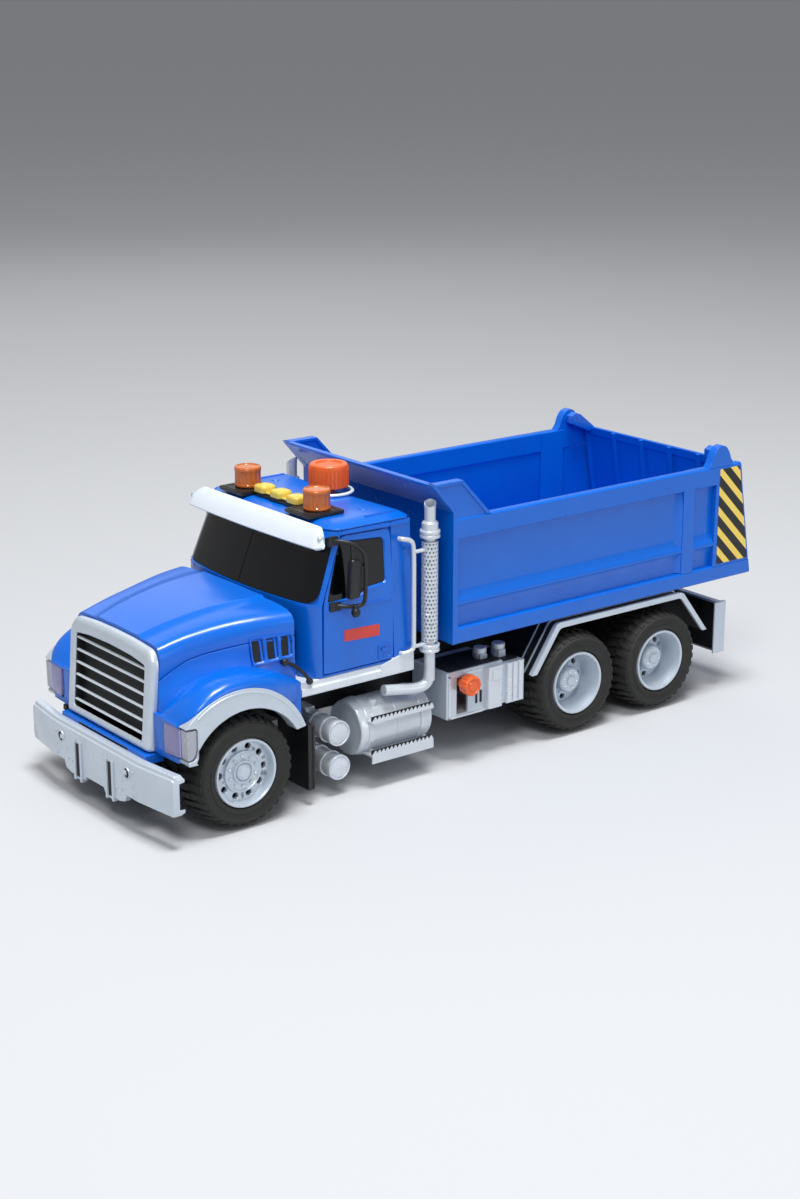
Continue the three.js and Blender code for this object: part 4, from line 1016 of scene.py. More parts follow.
def button_cap():
    """The push button: a ribbed drum with a stepped top and a hollow foot."""
    z0, z1 = ROOF + 3.4, BUTTON_TOP
    profile = [(0, z1 - 0.9), (6.6, z1 - 0.9), (7.0, z1 - 0.1), (9.2, z1), (10.0, z1 - 0.6),
               (10.2, z1 - 1.6),
               (10.2, z0 + 0.4), (9.9, z0), (9.0, z0), (9.0, z1 - 3), (0, z1 - 3)]
    middle = (BUTTON_X, 0, 0)
    drum = turned(profile, middle, "z", 72)
    rib = prism([(9.9, -0.5), (10.6, -0.26), (10.6, 0.26), (9.9, 0.5)], z0 + 0.6, z1 - 2.0, "z")
    rib = (rib[0] + middle, rib[1])
    stem = rod(middle, 3, 134.5, z1 - 1.5, "z", 24)
    return [drum, stem, *round_about(rib, middle, 30, "z")]


piece("light_pads", light_pads(), BLACK, "chassis", ["light_bar"], bevel=0.25)
pair("beacon_lens", [beacon_lens()], AMBER, "beacon", bevel=0)
pair("beacon_core", beacon_core(), AMBER_CORE, bevel=0.15)
piece("roof_lamp_lenses", roof_lamps(), YELLOW, "chassis", ["roof_lamps"], bevel=0.2)
piece("button_cap", button_cap(), ORANGE, "button", ["light_button"], bevel=0.12)
piece("button_collar_ring", [turned([(11.7, 0.3), (12.8, 0.3), (13.2, 0.7), (13.2, 1.2), (12.6, 1.8),
                                     (12.0, 1.8), (11.65, 1.5)],
                                    (BUTTON_X, 0, ROOF), "z", 64)], WHITE, "chassis", ["button_collar"],
      bevel=0)

# ------------------------------------------------------------------ hood and fenders


def eased(x, stations, values, spread=1.0):
    """Values between stations, smoothed over neighbours so that the curve has
    no corners. spread scales the neighbours' distance."""
    x = np.asarray(x, float)
    steps = ((-7, 0.2), (-3, 0.3), (3, 0.3), (7, 0.2))
    return sum(np.interp(x + d * spread, stations, values) * w for d, w in steps)


def hood_section(x):
    """Half of the hood's section at each station, from its foot to the crown:
    a flared side, the seam's groove, a rounded shoulder, a slope up to the
    raised middle panel and a gentle crown."""
    at = [2, 14, 30, 52, 70, 92]
    side = eased(x, at, [39.6, 39.9, 41.8, 46.0, 51.2, 56.2])
    edge = eased(x, at, [81.0, 83.0, 86.6, 90.5, 93.5, 95.8])
    top = eased(x, at, [34.6, 35.6, 37.0, 39.0, 43.4, 47.4])
    shoulder = eased(x, at, [89.0, 90.4, 95.0, 99.0, 100.8, 101.3])
    crown = eased(x, at, [90.4, 92.2, 97.4, 101.6, 103.0, 103.2])
    crease = eased(x, at, [17.5, 19.0, 21.5, 24.0, 26.5, 28.0])
    seam = np.minimum(eased(x, [10, 18, 26, 34, 46, 70], [70.0, 76.0, 82.2, 84.6, 86.2, 88.6]), edge - 1.2)
    flare = 9.6 * np.sqrt(np.clip((x - 16.6) / 11, 0, 1)) * np.interp(x, [16, 48, 68, 88], [1, 1, 0.6, 0.0])
    t = np.linspace(0, 1, 8)
    corner_y = bend(side[:, None], side[:, None] - 0.6, top[:, None], t)
    corner_z = bend(edge[:, None], shoulder[:, None] - 0.9, shoulder[:, None], t)
    rise = crown - shoulder
    down = seam - 58
    y = [side + flare, side + flare, side + flare * 0.92, side + flare * 0.70, side + flare * 0.40,
         side + flare * 0.16, side + flare * 0.04, side, side - 0.75, side, corner_y,
         top * 0.85 + crease * 0.15, top * 0.5 + crease * 0.5, crease + 1.3, crease, crease - 1.5,
         crease * 0.6, crease * 0.3, crease * 0]
    z = [side * 0 + 57.2, seam - down * 0.92, seam - down * 0.76, seam - down * 0.58, seam - down * 0.40,
         seam - down * 0.24, seam - down * 0.12, seam - 0.45, seam, seam + 0.45, corner_z,
         shoulder + rise * 0.2, shoulder + rise * 0.4, shoulder + rise * 0.56 - 0.25, shoulder + rise * 0.66
         + 0.45,
         shoulder + rise * 0.8 + 0.25, crown - 0.25, crown - 0.06, crown]
    y = np.concatenate([v if v.ndim == 2 else v[:, None] for v in y], 1)
    z = np.concatenate([v if v.ndim == 2 else v[:, None] for v in z], 1)
    return y, z


def hood_shell():
    """The hood, right round from one foot to the other and back along its
    inside 2.2 mm below. Its front end leans with the grille."""
    x = np.linspace(17.6, 85.6, 34)
    y, z = hood_section(x)
    y = np.concatenate([-y, y[:, -2::-1]], 1)
    z = np.concatenate([z, z[:, -2::-1]], 1)
    X = np.broadcast_to(x[:, None], y.shape)
    front = np.clip((28 - X) / 10, 0, 1) * (z - 92) * 0.107
    outer = np.stack([X + front, y, z], -1)
    inner = np.stack([X + front, y * (1 - 2.4 / np.maximum(np.abs(y), 30)), np.minimum(z - 2.2, 99)], -1)
    inner[:, :, 2] = np.where(z < 58, 57.2, inner[:, :, 2])
    return grid(np.concatenate([outer, inner[:, ::-1]], 1), wrap_v=True, caps=True)


def fender():
    """The left fender: a dome along the truck with a rounded nose. Its section
    climbs from the hood's side to the crest, and rolls over down to the arch
    trim."""
    x = 12.0 + 73.6 * np.linspace(0, 1, 52) ** 1.5
    at = [12.0, 12.6, 14, 16, 20, 24, 30, 38, 48, 56, 66, 76, 86]
    half = eased(x, at, [60.0, 62.0, 64.6, 66.6, 68.3, 68.7, 68.7, 68.7, 68.7, 68.6, 67.2, 63.4, 58.6],
                 0.25)
    crest = eased(x, at, [58.9, 60.4, 63.0, 65.6, 69.6, 72.6, 75.8, 78.0, 78.8, 78.4, 76.0, 71.4, 65.6],
                  0.25)
    low = TRIM[1] + np.sqrt(np.maximum((TRIM[2] - 1.2) ** 2 - (x - TRIM[0]) ** 2, 0))
    low = np.where(x > 60, np.maximum(low, 57.2), np.maximum(low, 58.75))
    crest = np.maximum(crest, low + 0.3)
    rise = np.minimum(crest - 58.6, 4.2)
    t = np.linspace(0, 1, 14)
    a, top = half[:, None], crest[:, None]
    ones = np.ones_like(a)
    in_y = np.linspace(41.5, 55.5, 8) * ones - np.clip((60 - a), 0, 6)
    in_z = top - rise[:, None] * (1 - np.linspace(0, 1, 8)) ** 2
    out_y = bend(in_y[:, -1:] + 1.5, a + 0.4, a, t)
    out_z = bend(top, top + 0.3, low[:, None] + 0.1, t)
    y = np.concatenate([in_y, out_y, a - 0.6, 41.5 * ones], 1)
    z = np.concatenate([in_z, out_z, low[:, None] - 0.2, low[:, None] - 0.2], 1)
    z = np.maximum(z, low[:, None] - 0.2)
    X = np.broadcast_to(x[:, None], y.shape)
    return grid(np.stack([X, -y, z], -1), wrap_v=True, caps=True)


def fender_foot():
    """The fender's front corner beside and under the headlight, and the rear
    wall that comes down behind the wheel."""
    rear = prism([(80.6, 46), (82.6, 45), (85.4, 45), (85.4, 66), (78, 66), (78.4, 58)], -60.0, -34)
    plan = rounded([(12.1, -40.4), (12.4, -49.7), (20.9, -49.7), (20.9, -40.4)], [0.3, 0.8, 0.3, 0.3], 3)
    under = rounded([(12.1, -45.0), (12.9, -60.6), (20.9, -61.6), (20.9, -45.0)], [0.3, 1.0, 0.3, 0.3], 3)
    return [rear, prism(plan, 40.5, 60.5, "z"), prism(under, 40.2, 42.9, "z")]


def arc(middle, radius, start, end, n):
    """Points of a circle between two angles in degrees."""
    angle = np.radians(np.linspace(start, end, n))
    return np.stack([middle[0] + radius * np.cos(angle), middle[1] + radius * np.sin(angle)], -1)


def arch_trim():
    """The left arch trim: between the outer arc and the wheel opening's arc,
    down behind the headlight and round under it."""
    outer = arc(TRIM[:2], TRIM[2] - 0.2, 20.0, 138.5, 44)
    lamp = [(18.6, 58.9), (19.2, 57.5), (19.2, 47.6), (18.2, 44.0), (16.8, 42.9), (14.4, 42.8),
            (13.4, 41.8), (14.2, 40.3)]
    foot = [(19.6, 40.2)]
    inner = arc(ARCH[:2], ARCH[2] - 1.6, 156.5, 152, 3)
    sweep = arc(ARCH[:2], ARCH[2] + 0.1, 146, 29.6, 46)
    outline = np.concatenate([outer, lamp, foot, inner, sweep])
    band = prism(outline, -68.9, -60.3)
    lip = np.concatenate([arc(TRIM[:2], TRIM[2] - 1.6, 22.0, 128, 40),
                          arc(TRIM[:2], TRIM[2] - 3.0, 128, 22, 40)])
    return [band, prism(lip, -69.2, -66)]


def corner_lamp():
    """The frosted lamp that wraps the headlight's outer corner."""
    outline = rounded([(13.4, 43.5), (16.4, 43.5), (18.6, 47.6), (18.7, 58.1), (13.2, 58.3)],
                      [0.5, 1.6, 2.0, 0.6, 0.5], 4)
    return [prism(outline, -68.75, -63.2)]


def side_vent():
    """Three slots in the hood's side: a raised bezel with a dark back, and a
    slanted blade in each slot."""
    def where(a, b, depth):
        """The hood's side at a station and height, moved out by a depth."""
        a = np.atleast_1d(np.asarray(a, float))
        y, z = hood_section(a)
        rows = [np.interp(level, zz[:9][np.argsort(zz[:9])], yy[:9][np.argsort(zz[:9])])
                for level, yy, zz in zip(b, y, z)]
        return np.stack([a, -(np.array(rows) + 0.2 + depth), b], -1)

    outline = rounded([(62.4, 90.6), (84.4, 91.0), (84.4, 78.4), (62.4, 76.8)], 1.6, 4)
    back = filled(outline, lambda a, b, d: where(a, b, d + 0.2), 0.9, rings=4, edge=0.2)
    bezel, blades = [], []
    for k in range(3):
        x0 = 62.4 + k * 7.35
        cell = [(x0, 90.4), (x0 + 7.3, 90.6), (x0 + 7.3, 77.4 + k * 0.5), (x0, 76.8 + k * 0.5)]
        slot = rounded([(x0 + 1.0, 89.2), (x0 + 6.6, 89.4), (x0 + 6.3, 78.6 + k * 0.5),
                        (x0 + 0.9, 78.0 + k * 0.5)], 1.3, 3)
        bezel.append(holed(cell, slot, lambda a, b, d: where(a, b, d + 1.2), 1.8, lip=0.5, n=32))
        blades.append(filled(slot * (0.2, 1) + ((x0 + 5.6) * 0.8, 0), lambda a, b, d: where(a, b, d + 0.7),
                             0.7, rings=2, edge=0.2))
    return back, bezel + blades


def hood_latch():
    """The rubber strap that holds the hood down at each side."""
    path = smoothed([(79.0, -55.6, 76.4), (84.0, -57.6, 74.0), (88.5, -59.2, 69.0), (91.5, -59.2, 64.8)], 2)
    strap = swept(path, 0.95, 10)
    ends = [turned([(0, -0.9), (1.5, -0.9), (1.9, -0.4), (1.9, 1.2), (0, 1.2)], (79.0, -55.9, 76.4), n=18),
            turned([(0, -0.9), (1.3, -0.9), (1.7, -0.4), (1.7, 1.2), (0, 1.2)], (91.6, -59.1, 64.6), n=18)]
    return both(strap, *ends)


piece("hood_shell", [hood_shell()] + both(fender(), *fender_foot()), BLUE, "chassis", ["hood"], bevel=0.3,
      sharp=38)
vent_back, vent_bezel = side_vent()
piece("hood_vent_bezels", both(*vent_bezel), BLUE, "chassis", bevel=0)
piece("hood_vent_backs", both(vent_back), DEEP, "chassis", bevel=0)
piece("hood_latches", hood_latch(), BLACK, "chassis", bevel=0)
pair("arch_trim", arch_trim(), SILVER, "fender_trim", bevel=0.9, segments=3)

# ------------------------------------------------------------------ headlights


def headlight():
    """The left headlight: a clear moulded block with rounded edges, and its two
    bowls, back plate and bar."""
    plan = rounded([(11.4, -50.2), (12.6, -61.9), (13.6, -62.8), (18.5, -62.8), (18.5, -50.2)],
                   [1.0, 0.8, 0.8, 0.4, 0.4], 4)
    rows = [np.column_stack([plan.mean(0) + (plan - plan.mean(0)) * s, np.full(len(plan), z)])
            for s, z in ((0, 43.5), (0.95, 43.5), (1, 44.1), (1, 57.8), (0.95, 58.4), (0, 58.4))]
    lens = [grid(np.array(rows), wrap_v=True)]
    bowls = [turned([(0, 5.4), (1.2, 5.2), (3.9, 1.8), (4.5, 1.6), (4.5, 6.0), (0, 6.0)],
                    (11.9, y, z), "x", 28)
             for y, z in ((-55.0, 50.9), (-60.0, 50.9))]
    backs = [block(17.0, 18.0, -62.5, -50.5, 44.3, 57.6)]
    bar = [block(12.9, 17.0, -63.15, -62.35, 43.9, 58.2)]
    return lens, bowls + backs + bar


clear_block, bowls = headlight()
pair("headlight_lens", clear_block, CLEAR, "headlight", bevel=0)
pair("headlight_bowls", bowls, REFLECTOR, bevel=0.15)
pair("corner_lamp", corner_lamp(), FROST, bevel=0.5, segments=3)

# ------------------------------------------------------------------ grille and bumper


def grille_plane(y, z, depth):
    """The grille's leaning plane: depth runs forward from its face."""
    return np.stack([8.3 + 0.085 * (z - 39.7) - depth, y, z], -1)


def grille_outline(extra):
    """The surround's outline, grown by an extra width."""
    w, top = 40.2 + extra, 92 + extra
    return [(-w, 39.7 - extra), (w, 39.7 - extra), (w, 84.5), (36.2 + extra, 90.3 + extra), (18, top - 0.3),
            (0, top), (-18, top - 0.3), (-36.2 - extra, 90.3 + extra), (-w, 84.5)]


OPENING = rounded([(-33.4, 44.2), (33.4, 44.2), (33.4, 82.4), (20, 83.9), (0, 84.5), (-20, 83.9),
                   (-33.4, 82.4)], 1.6, 4)


def grille_ring(outer, hole, steps):
    """A ring that leans with the grille. Each step is a share of the way from
    the hole to the outline, and a depth."""
    centre = np.array([0, 63.5])
    angles = corner_angles(centre, outer, hole, n=96)
    far, near = polar(outer, centre, angles), polar(hole, centre, angles)
    loops = []
    for share, depth in steps:
        ring = near + (far - near) * share
        loops.append(grille_plane(ring[:, 0], ring[:, 1], np.full(len(ring), depth)))
    return grid(np.array(loops), wrap_u=True, wrap_v=True)


def grille_frame():
    """The surround: a rounded face that turns back to the hood's front edge."""
    outer = rounded(grille_outline(-0.1), [2, 2, 3, 3, 3, 3, 3, 3, 3], 4)
    return [grille_ring(outer, OPENING, ((0, -7.4), (0, -1.2), (0.05, -0.5), (0.12, -0.1), (0.25, 0.0),
                                         (0.45, 0.0), (0.66, -0.2),
                                         (0.84, -0.8), (0.95, -1.8), (1, -3.0), (1, -4.3), (0.9, -4.4),
                                         (0.9, -7.8)))]


def grille_liner():
    """The black lining of the opening, 1 mm thick."""
    return [grille_ring(OPENING, OPENING * (0.968, 1), ((0, -6.6), (0, -1.2), (0.85, -1.1), (0.85, -6.6)))]


def grille_slats():
    """Six thin bars with a rounded face, leaning with the grille."""
    bars = []
    for k in range(6):
        z = 44.2 + 6.5 * (k + 0.5) + 0.3
        section = np.array([(-1.1, z - 0.5), (-0.9, z), (-1.1, z + 0.5), (-2.2, z + 0.55),
                            (-2.2, z - 0.55)])
        ends = [grille_plane(np.full(5, y), section[:, 1], section[:, 0]) for y in (-32.9, 32.9)]
        bars.append(grid(np.array(ends), wrap_v=True, caps=True))
    return bars


def grille_back():
    """The plate at the back of the opening."""
    outline = [(-33.0, 44.6), (33.0, 44.6), (33.0, 83.0), (-33.0, 83.0)]
    points = np.array(outline, float)
    rows = [grille_plane(points[:, 0], points[:, 1], np.full(4, d)) for d in (-5.0, -7.2)]
    return [grid(np.array(rows), wrap_v=True, caps=True)]


piece("grille_frame", grille_frame(), SILVER, "chassis", ["grille_surround"], bevel=0)
piece("grille_slats", grille_slats(), WHITE, "chassis", ["grille_bars"], bevel=0.15, slot="trim_silver")
piece("grille_back", grille_back() + grille_liner(), DEEP, "chassis", ["grille_insert"], bevel=0.1,
      slot="glass_black")


def bumper_shell():
    """The bumper: one upright section of (depth, height) carried along a plan
    that is flat in the middle and sweeps back at both ends."""
    y = np.array([-69.4, -69.0, -67.8, -55, -43.5, -40.5, 0, 40.5, 43.5, 55, 67.8, 69.0, 69.4])
    sweep = np.interp(np.abs(y), [0, 40.5, 43.5, 55, 67.8, 69.0, 69.4], [0, 0, 0.25, 1.6, 3.2, 3.6, 4.4])
    section = np.array([(6.4, 16.7), (1.8, 16.7), (1.1, 17.2), (0.8, 18.2), (0.8, 34.6), (1.0, 35.4),
                        (2.1, 35.9), (2.3, 37.2),
                        (2.9, 37.5), (6.4, 37.5), (6.4, 35.5), (3.4, 35.0), (3.4, 19.0), (6.4, 18.8)])
    close = np.interp(np.abs(y), [0, 68.4, 69.4], [1, 1, 0.82])
    depth = section[None, :, 0] + sweep[:, None]
    height = 27.1 + (section[None, :, 1] - 27.1) * close[:, None]
    points = np.stack([depth, np.broadcast_to(y[:, None], depth.shape), height], -1)
    return grid(points, wrap_v=True, caps=True)


def bumper_parts():
    """The keel plate under the bar, two channel brackets, tow eyes with their
    dark holes, and rivets. A dark strip on each bracket's front is painted shade for its channel."""
    keel = prism([(-31, 17.6), (-29, 13.4), (-24, 12.2), (-10, 12.2), (-8.5, 14.4), (8.5, 14.4), (10, 12.2),
                  (24, 12.2), (29, 13.4),
                  (31, 17.6)], 1.0, 4.2, "x")
    channel = [prism([(0.05, 10.4), (3.6, 10.4), (3.6, 31.6), (1.4, 32.4), (0.05, 31.6)], y, y + 1.7)
               for y in (-19.6, -13.6)]
    channel.append(block(0.75, 2.4, -19, -12.4, 10.9, 31.2))
    eyes = [turned([(2.4, 0.0), (2.5, -0.55), (2.9, -0.55), (3.1, 0.0), (3.1, 0.9), (2.4, 0.9)],
                   (0.7, -32.5, 29.6), "x", 28)]
    hooks = [prism(soft_panel(0.1, 28.4, 0.9, 31.0, 0.2, 2), -32.6, -30.0)]
    bolts = [turned([(0, -0.55), (0.6, -0.55), (0.85, -0.2), (0.85, 0.5), (0, 0.5)], (0.75, y, z), "x", 12)
             for y, z in ((-37.6, 19.0), (-37.6, 24.2), (-37.6, 31.4), (-27.0, 19.0), (-27.0, 24.2),
                          (-22.4, 19.0))]
    holes = [turned([(0, -0.06), (2.45, -0.06), (2.45, 0.4), (0, 0.4)], (0.75, -32.5, 29.6), "x", 28),
             # a dark strip on each bracket's front: painted shade of its channel
             prism([(-17.6, 12.4), (-14.0, 12.4), (-14.0, 30.2), (-17.6, 30.2)], 0.62, 1.1, "x")]
    return [keel] + both(*channel, *eyes, *hooks, *bolts), both(*holes)


bumper_work, bumper_holes = bumper_parts()
piece("bumper_bar", [bumper_shell()] + bumper_work, SILVER, "chassis", ["front_bumper"], bevel=0.25)
# the dark bracket strips in this piece are painted shade; the eye holes are real holes
piece("bumper_holes", bumper_holes, DEEP, "chassis", bevel=0)
from_cad("front_apron_panel", "front_apron", BLUE, "chassis", bevel=0.4)

# ------------------------------------------------------------------ wheels


def tyre(x, width):
    """A tyre: the carcass is turned from its section, and blocks stand on its
    tread in two shoulder rows and two middle rows."""
    f, r = -TYRE_FACE, WHEEL
    inner = f + width
    profile = [(RIM + 0.3, f + 2.4), (RIM + 0.7, f + 0.9), (RIM + 2.0, f + 0.3), (RIM + 3.2, f + 0.3),
               (RIM + 3.4, f + 0.6),
               (RIM + 4.6, f + 0.5), (r - 4.6, f + 0.25), (r - 4.3, f + 0.0), (r - 3.6, f + 0.15),
               (r - 2.6, f + 1.2),
               (r - 1.6, f + 3.4), (r - 1.3, f + 7), (r - 1.3, inner - 7), (r - 1.6, inner - 3.4),
               (r - 2.6, inner - 1.2),
               (r - 3.6, inner - 0.1), (r - 4.6, inner), (RIM + 3.0, inner), (RIM + 0.3, inner - 2.4)]
    centre = (x, 0, WHEEL)
    carcass = turned(profile, centre, n=72)
    count = 34
    pitch = 2 * np.pi / count

    def lug(y0, y1, low0, low1, top0, top1, share, twist):
        """One tread block: eight corners on the tread, twisted along Y."""
        a = pitch * share / 2
        corners = []
        for y, low, top, t in ((y0, low0, top0, 0.0), (y1, low1, top1, twist * pitch)):
            corners.append([(low, -a + t), (top, -a * 0.86 + t), (top, a * 0.86 + t), (low, a + t)])
        points = np.array([[(x + q * np.sin(b), y, WHEEL + q * np.cos(b)) for q, b in row]
                           for y, row in zip((y0, y1), corners)])
        return grid(points, wrap_v=True, caps=True)

    third = (width - 9) / 2
    rows = [lug(f + 0.9, f + 8.0, r - 4.2, r - 1.6, r - 2.0, r, 0.62, 0.18),
            lug(inner - 0.9, inner - 8.0, r - 4.2, r - 1.6, r - 2.0, r, 0.62, 0.18),
            lug(f + 9.2, f + 4.5 + third * 0.98, r - 1.6, r - 1.6, r, r - 0.05, 0.66, -0.32),
            lug(inner - 9.2, inner - 4.5 - third * 0.98, r - 1.6, r - 1.6, r, r - 0.05, 0.66, -0.32)]
    blocks = []
    for k, row in enumerate(rows):
        blocks += round_about(row, centre, count, "y", (k % 2) * pitch / 2)
    return [carcass, *blocks]


def pierced_ring(x, y, inside, outside, count, hole, at, depth):
    """The wheel's disc as equal wedges, each with a round hole, its wall
    turned in at the back."""
    half = np.pi / count
    arc = np.linspace(-half, half, 9)
    outline = np.concatenate([np.stack([outside * np.cos(arc), outside * np.sin(arc)], -1),
                              np.stack([inside * np.cos(arc[::-1]), inside * np.sin(arc[::-1])], -1)])
    ring = np.linspace(0, 2 * np.pi, 20, endpoint=False)
    opening = np.stack([at + hole * np.cos(ring), hole * 1.12 * np.sin(ring)], -1)
    wedge = holed(outline, opening, lambda a, b, d: np.stack([x + a, y - d, WHEEL + b], -1), depth,
                  lip=0.35, n=28)
    return round_about(wedge, (x, 0, WHEEL), count)


def nut(x, y, z, size, rise):
    """A six-sided nut with a domed end, pointing out to the left."""
    return turned([(0, -rise), (size * 0.55, -rise), (size, 0.4 - rise), (size, 0.5), (0, 0.5)], (x, y, z),
                  n=6)


def front_rim(x):
    """Front rim: rolled lip, shallow disc with ten hand holes, ten nuts round
    a raised ring, and a domed cap."""
    f = -TYRE_FACE
    face = f + 5
    lip = turned([(RIM, f + 33), (RIM, f + 1.2), (RIM - 0.3, f + 0.5), (RIM - 1.0, f + 0.4),
                  (RIM - 1.5, f + 0.9), (RIM - 1.7, f + 2.2),
                  (RIM - 2.3, face - 1.2), (RIM - 2.4, face + 1.5), (RIM - 2.4, f + 33)], (x, 0, WHEEL),
                 n=80)
    disc = pierced_ring(x, face, 10.4, RIM - 2.2, 10, 1.55, 12.8, 2.2)
    hub = turned([(0, face - 3.4), (2.6, face - 3.2), (4.0, face - 2.3), (4.4, face - 1.2),
                  (4.7, face - 1.1), (4.9, face - 1.9),
                  (5.7, face - 2.0), (6.0, face - 1.0), (6.2, face - 0.7), (9.4, face - 0.8),
                  (9.9, face - 1.4), (10.5, face - 1.4),
                  (10.8, face - 0.5), (10.8, face + 2.4), (0, face + 2.4)], (x, 0, WHEEL), n=64)
    nuts = round_about(nut(x + 7.8, face - 0.7, WHEEL, 0.95, 1.1), (x, 0, WHEEL), 10, first=0.3)
    return [lip, *disc, hub, *nuts]


def rear_rim(x):
    """Rear rim: a deep dish with a long drum in its middle, that carries eight
    nuts round a stepped cap."""
    f = -TYRE_FACE
    face = f + 13
    lip = turned([(RIM, f + 36), (RIM, f + 1.2), (RIM - 0.3, f + 0.5), (RIM - 1.0, f + 0.4),
                  (RIM - 1.6, f + 0.9), (RIM - 1.9, f + 2.4),
                  (RIM - 3.0, f + 5.0), (RIM - 3.2, f + 9.0), (RIM - 4.2, face - 0.6),
                  (RIM - 4.6, face + 1.8), (RIM - 3.0, face + 3),
                  (RIM - 2.4, f + 36)], (x, 0, WHEEL), n=80)
    disc = pierced_ring(x, face, 9.0, RIM - 4.2, 8, 1.5, 11.1, 2.2)
    hub = turned([(0, face - 8.0), (2.2, face - 7.9), (2.9, face - 7.3), (3.1, face - 6.6),
                  (6.2, face - 6.4), (7.0, face - 5.6),
                  (7.3, face - 4.2), (7.4, face - 0.6), (8.2, face - 0.4), (9.3, face - 0.4),
                  (9.3, face + 2.4), (0, face + 2.4)],
                 (x, 0, WHEEL), n=64)
    nuts = round_about(nut(x + 4.7, face - 6.4, WHEEL, 0.85, 0.7), (x, 0, WHEEL), 6, first=0.3)
    outer_nuts = round_about(nut(x + 8.3, face - 0.4, WHEEL, 0.6, 0.8), (x, 0, WHEEL), 8, first=np.pi / 8)
    return [lip, *disc, hub, *nuts, *outer_nuts]


def wheel_back(x, face):
    """The dark drum behind the rim's holes."""
    return turned([(0, face + 3.4), (RIM - 3.0, face + 3.4), (RIM - 3.0, face + 9), (0, face + 9)],
                  (x, 0, WHEEL), n=40)


for wheel, station in AXLES.items():
    width, rim, dish = (37, front_rim, 5) if wheel == "front" else (40, rear_rim, 13)
    body = f"{wheel}_wheels"
    pair(f"{wheel}_tyre_tread", tyre(station, width), RUBBER, f"{wheel}_tyre", body, bevel=0, sharp=28)
    pair(f"{wheel}_wheel_rim", rim(station), SILVER, f"{wheel}_rim", body, bevel=0, sharp=28)
    pair(f"{wheel}_brake_drum", [wheel_back(station, dish - TYRE_FACE)], DEEP, None, body, bevel=0)

# ------------------------------------------------------------------ exhaust stacks


def perforated_shield():
    """The stack's heat shield: a tube of cells, each with an eight-sided hole
    that goes through to the back. Odd rows are moved on by half a cell."""
    x, y = STACK
    around, up, r0, r1 = 14, 25, 3.55, 4.3
    z0, z1 = 72.0, 125.0
    corner = np.array([(-1, -1), (0, -1), (1, -1), (1, 0), (1, 1), (0, 1), (-1, 1), (-1, 0)]) / 2
    angle = np.arctan2(corner[:, 1], corner[:, 0])
    hole = np.stack([np.cos(angle), np.sin(angle)], -1) * 0.30
    loops = [(corner, r1), (hole, r1), (hole, r0), (corner, r0)]
    cells = []
    step, rise = 2 * np.pi / around, (z1 - z0) / up
    for row in range(up):
        for k in range(around):
            rows = []
            for pattern, radius in loops:
                t = (k + pattern[:, 0] + 0.5 * (row % 2)) * step
                rows.append(np.stack([x + radius * np.cos(t), y + radius * np.sin(t),
                                      z0 + (row + 0.5 + pattern[:, 1]) * rise], -1))
            cells.append(grid(np.array(rows), wrap_u=True, wrap_v=True))
    return cells


def stack_pipe():
    """The pipe inside the shield, its two clamps, and the slanted tip with a
    real bore."""
    x, y = STACK
    pipe = rod((x, y, 0), 2.9, 50, 134, "z", 28)
    clamps = [turned([(2.6, z), (5.1, z), (5.3, z + 0.3), (5.3, z + 1.4), (4.9, z + 1.7),
                      (4.9, z + 2.3), (5.3, z + 2.6), (5.3, z + 3.7), (5.1, z + 4), (2.6, z + 4)],
                     (x, y, 0), "z", 36)
              for z in (66.2, 127.0)]
    collar = turned([(2.6, 131), (4.3, 131), (4.3, 134.6), (3.5, 135.6), (2.6, 135.6)], (x, y, 0), "z", 32)
    n = 32
    angle = np.arange(n) * 2 * np.pi / n
    c, s = np.cos(angle), np.sin(angle)
    rows = []
    for radius, z, slant in ((2.9, 133, 0), (2.9, 141.4, 0), (3.1, 143.2, 0.7), (2.4, 143.2, 0.7),
                             (2.2, 141.0, 0.2), (2.2, 134, 0)):
        level = z + slant * (2.4 + c * 1.6 - s * -1.6)
        rows.append(np.stack([x + radius * c, y + radius * s, np.minimum(level, 146.4)], -1))
    tip = grid(np.array(rows), wrap_u=True, wrap_v=True)
    elbow = swept(smoothed([(x, y, 67), (x, y, 50.6), (x - 3.0, y + 0.6, 47.4), (x - 9, y + 1.2, 46.8),
                            (x - 19, y + 2.5, 48.2),
                            (x - 27.5, y + 3.2, 49.4)], 3), 2.9, 20)
    return [pipe, *clamps, collar, tip, elbow]


def grab_rail():
    """The bent rail beside the stack, on two short stubs."""
    x, y = CAB_REAR - 2.0, -61.6
    rail = swept(smoothed([(x - 7.4, -58.6, 128.6), (x - 6.6, y + 0.4, 128.8), (x - 1.0, y, 127.2),
                           (x, y, 122), (x, y, 96),
                           (x, y, 73), (x, y, 70.2), (x - 1.6, y, 68.4), (x - 6, y + 1.0, 67.6),
                           (x - 6.4, -58.6, 67.6)], 3), 1.25, 14)
    ties = [rod((0, y, z), 1.0, x, STACK[0], "x", 14) for z in (121, 70.6)]
    return [rail, *ties]


pair("stack_shield", perforated_shield(), BRIGHT, bevel=0, sharp=40)
pair("stack_pipes", stack_pipe() + grab_rail(), BRIGHT, "exhaust_stack", bevel=0)


# ------------------------------------------------------------------ mirrors


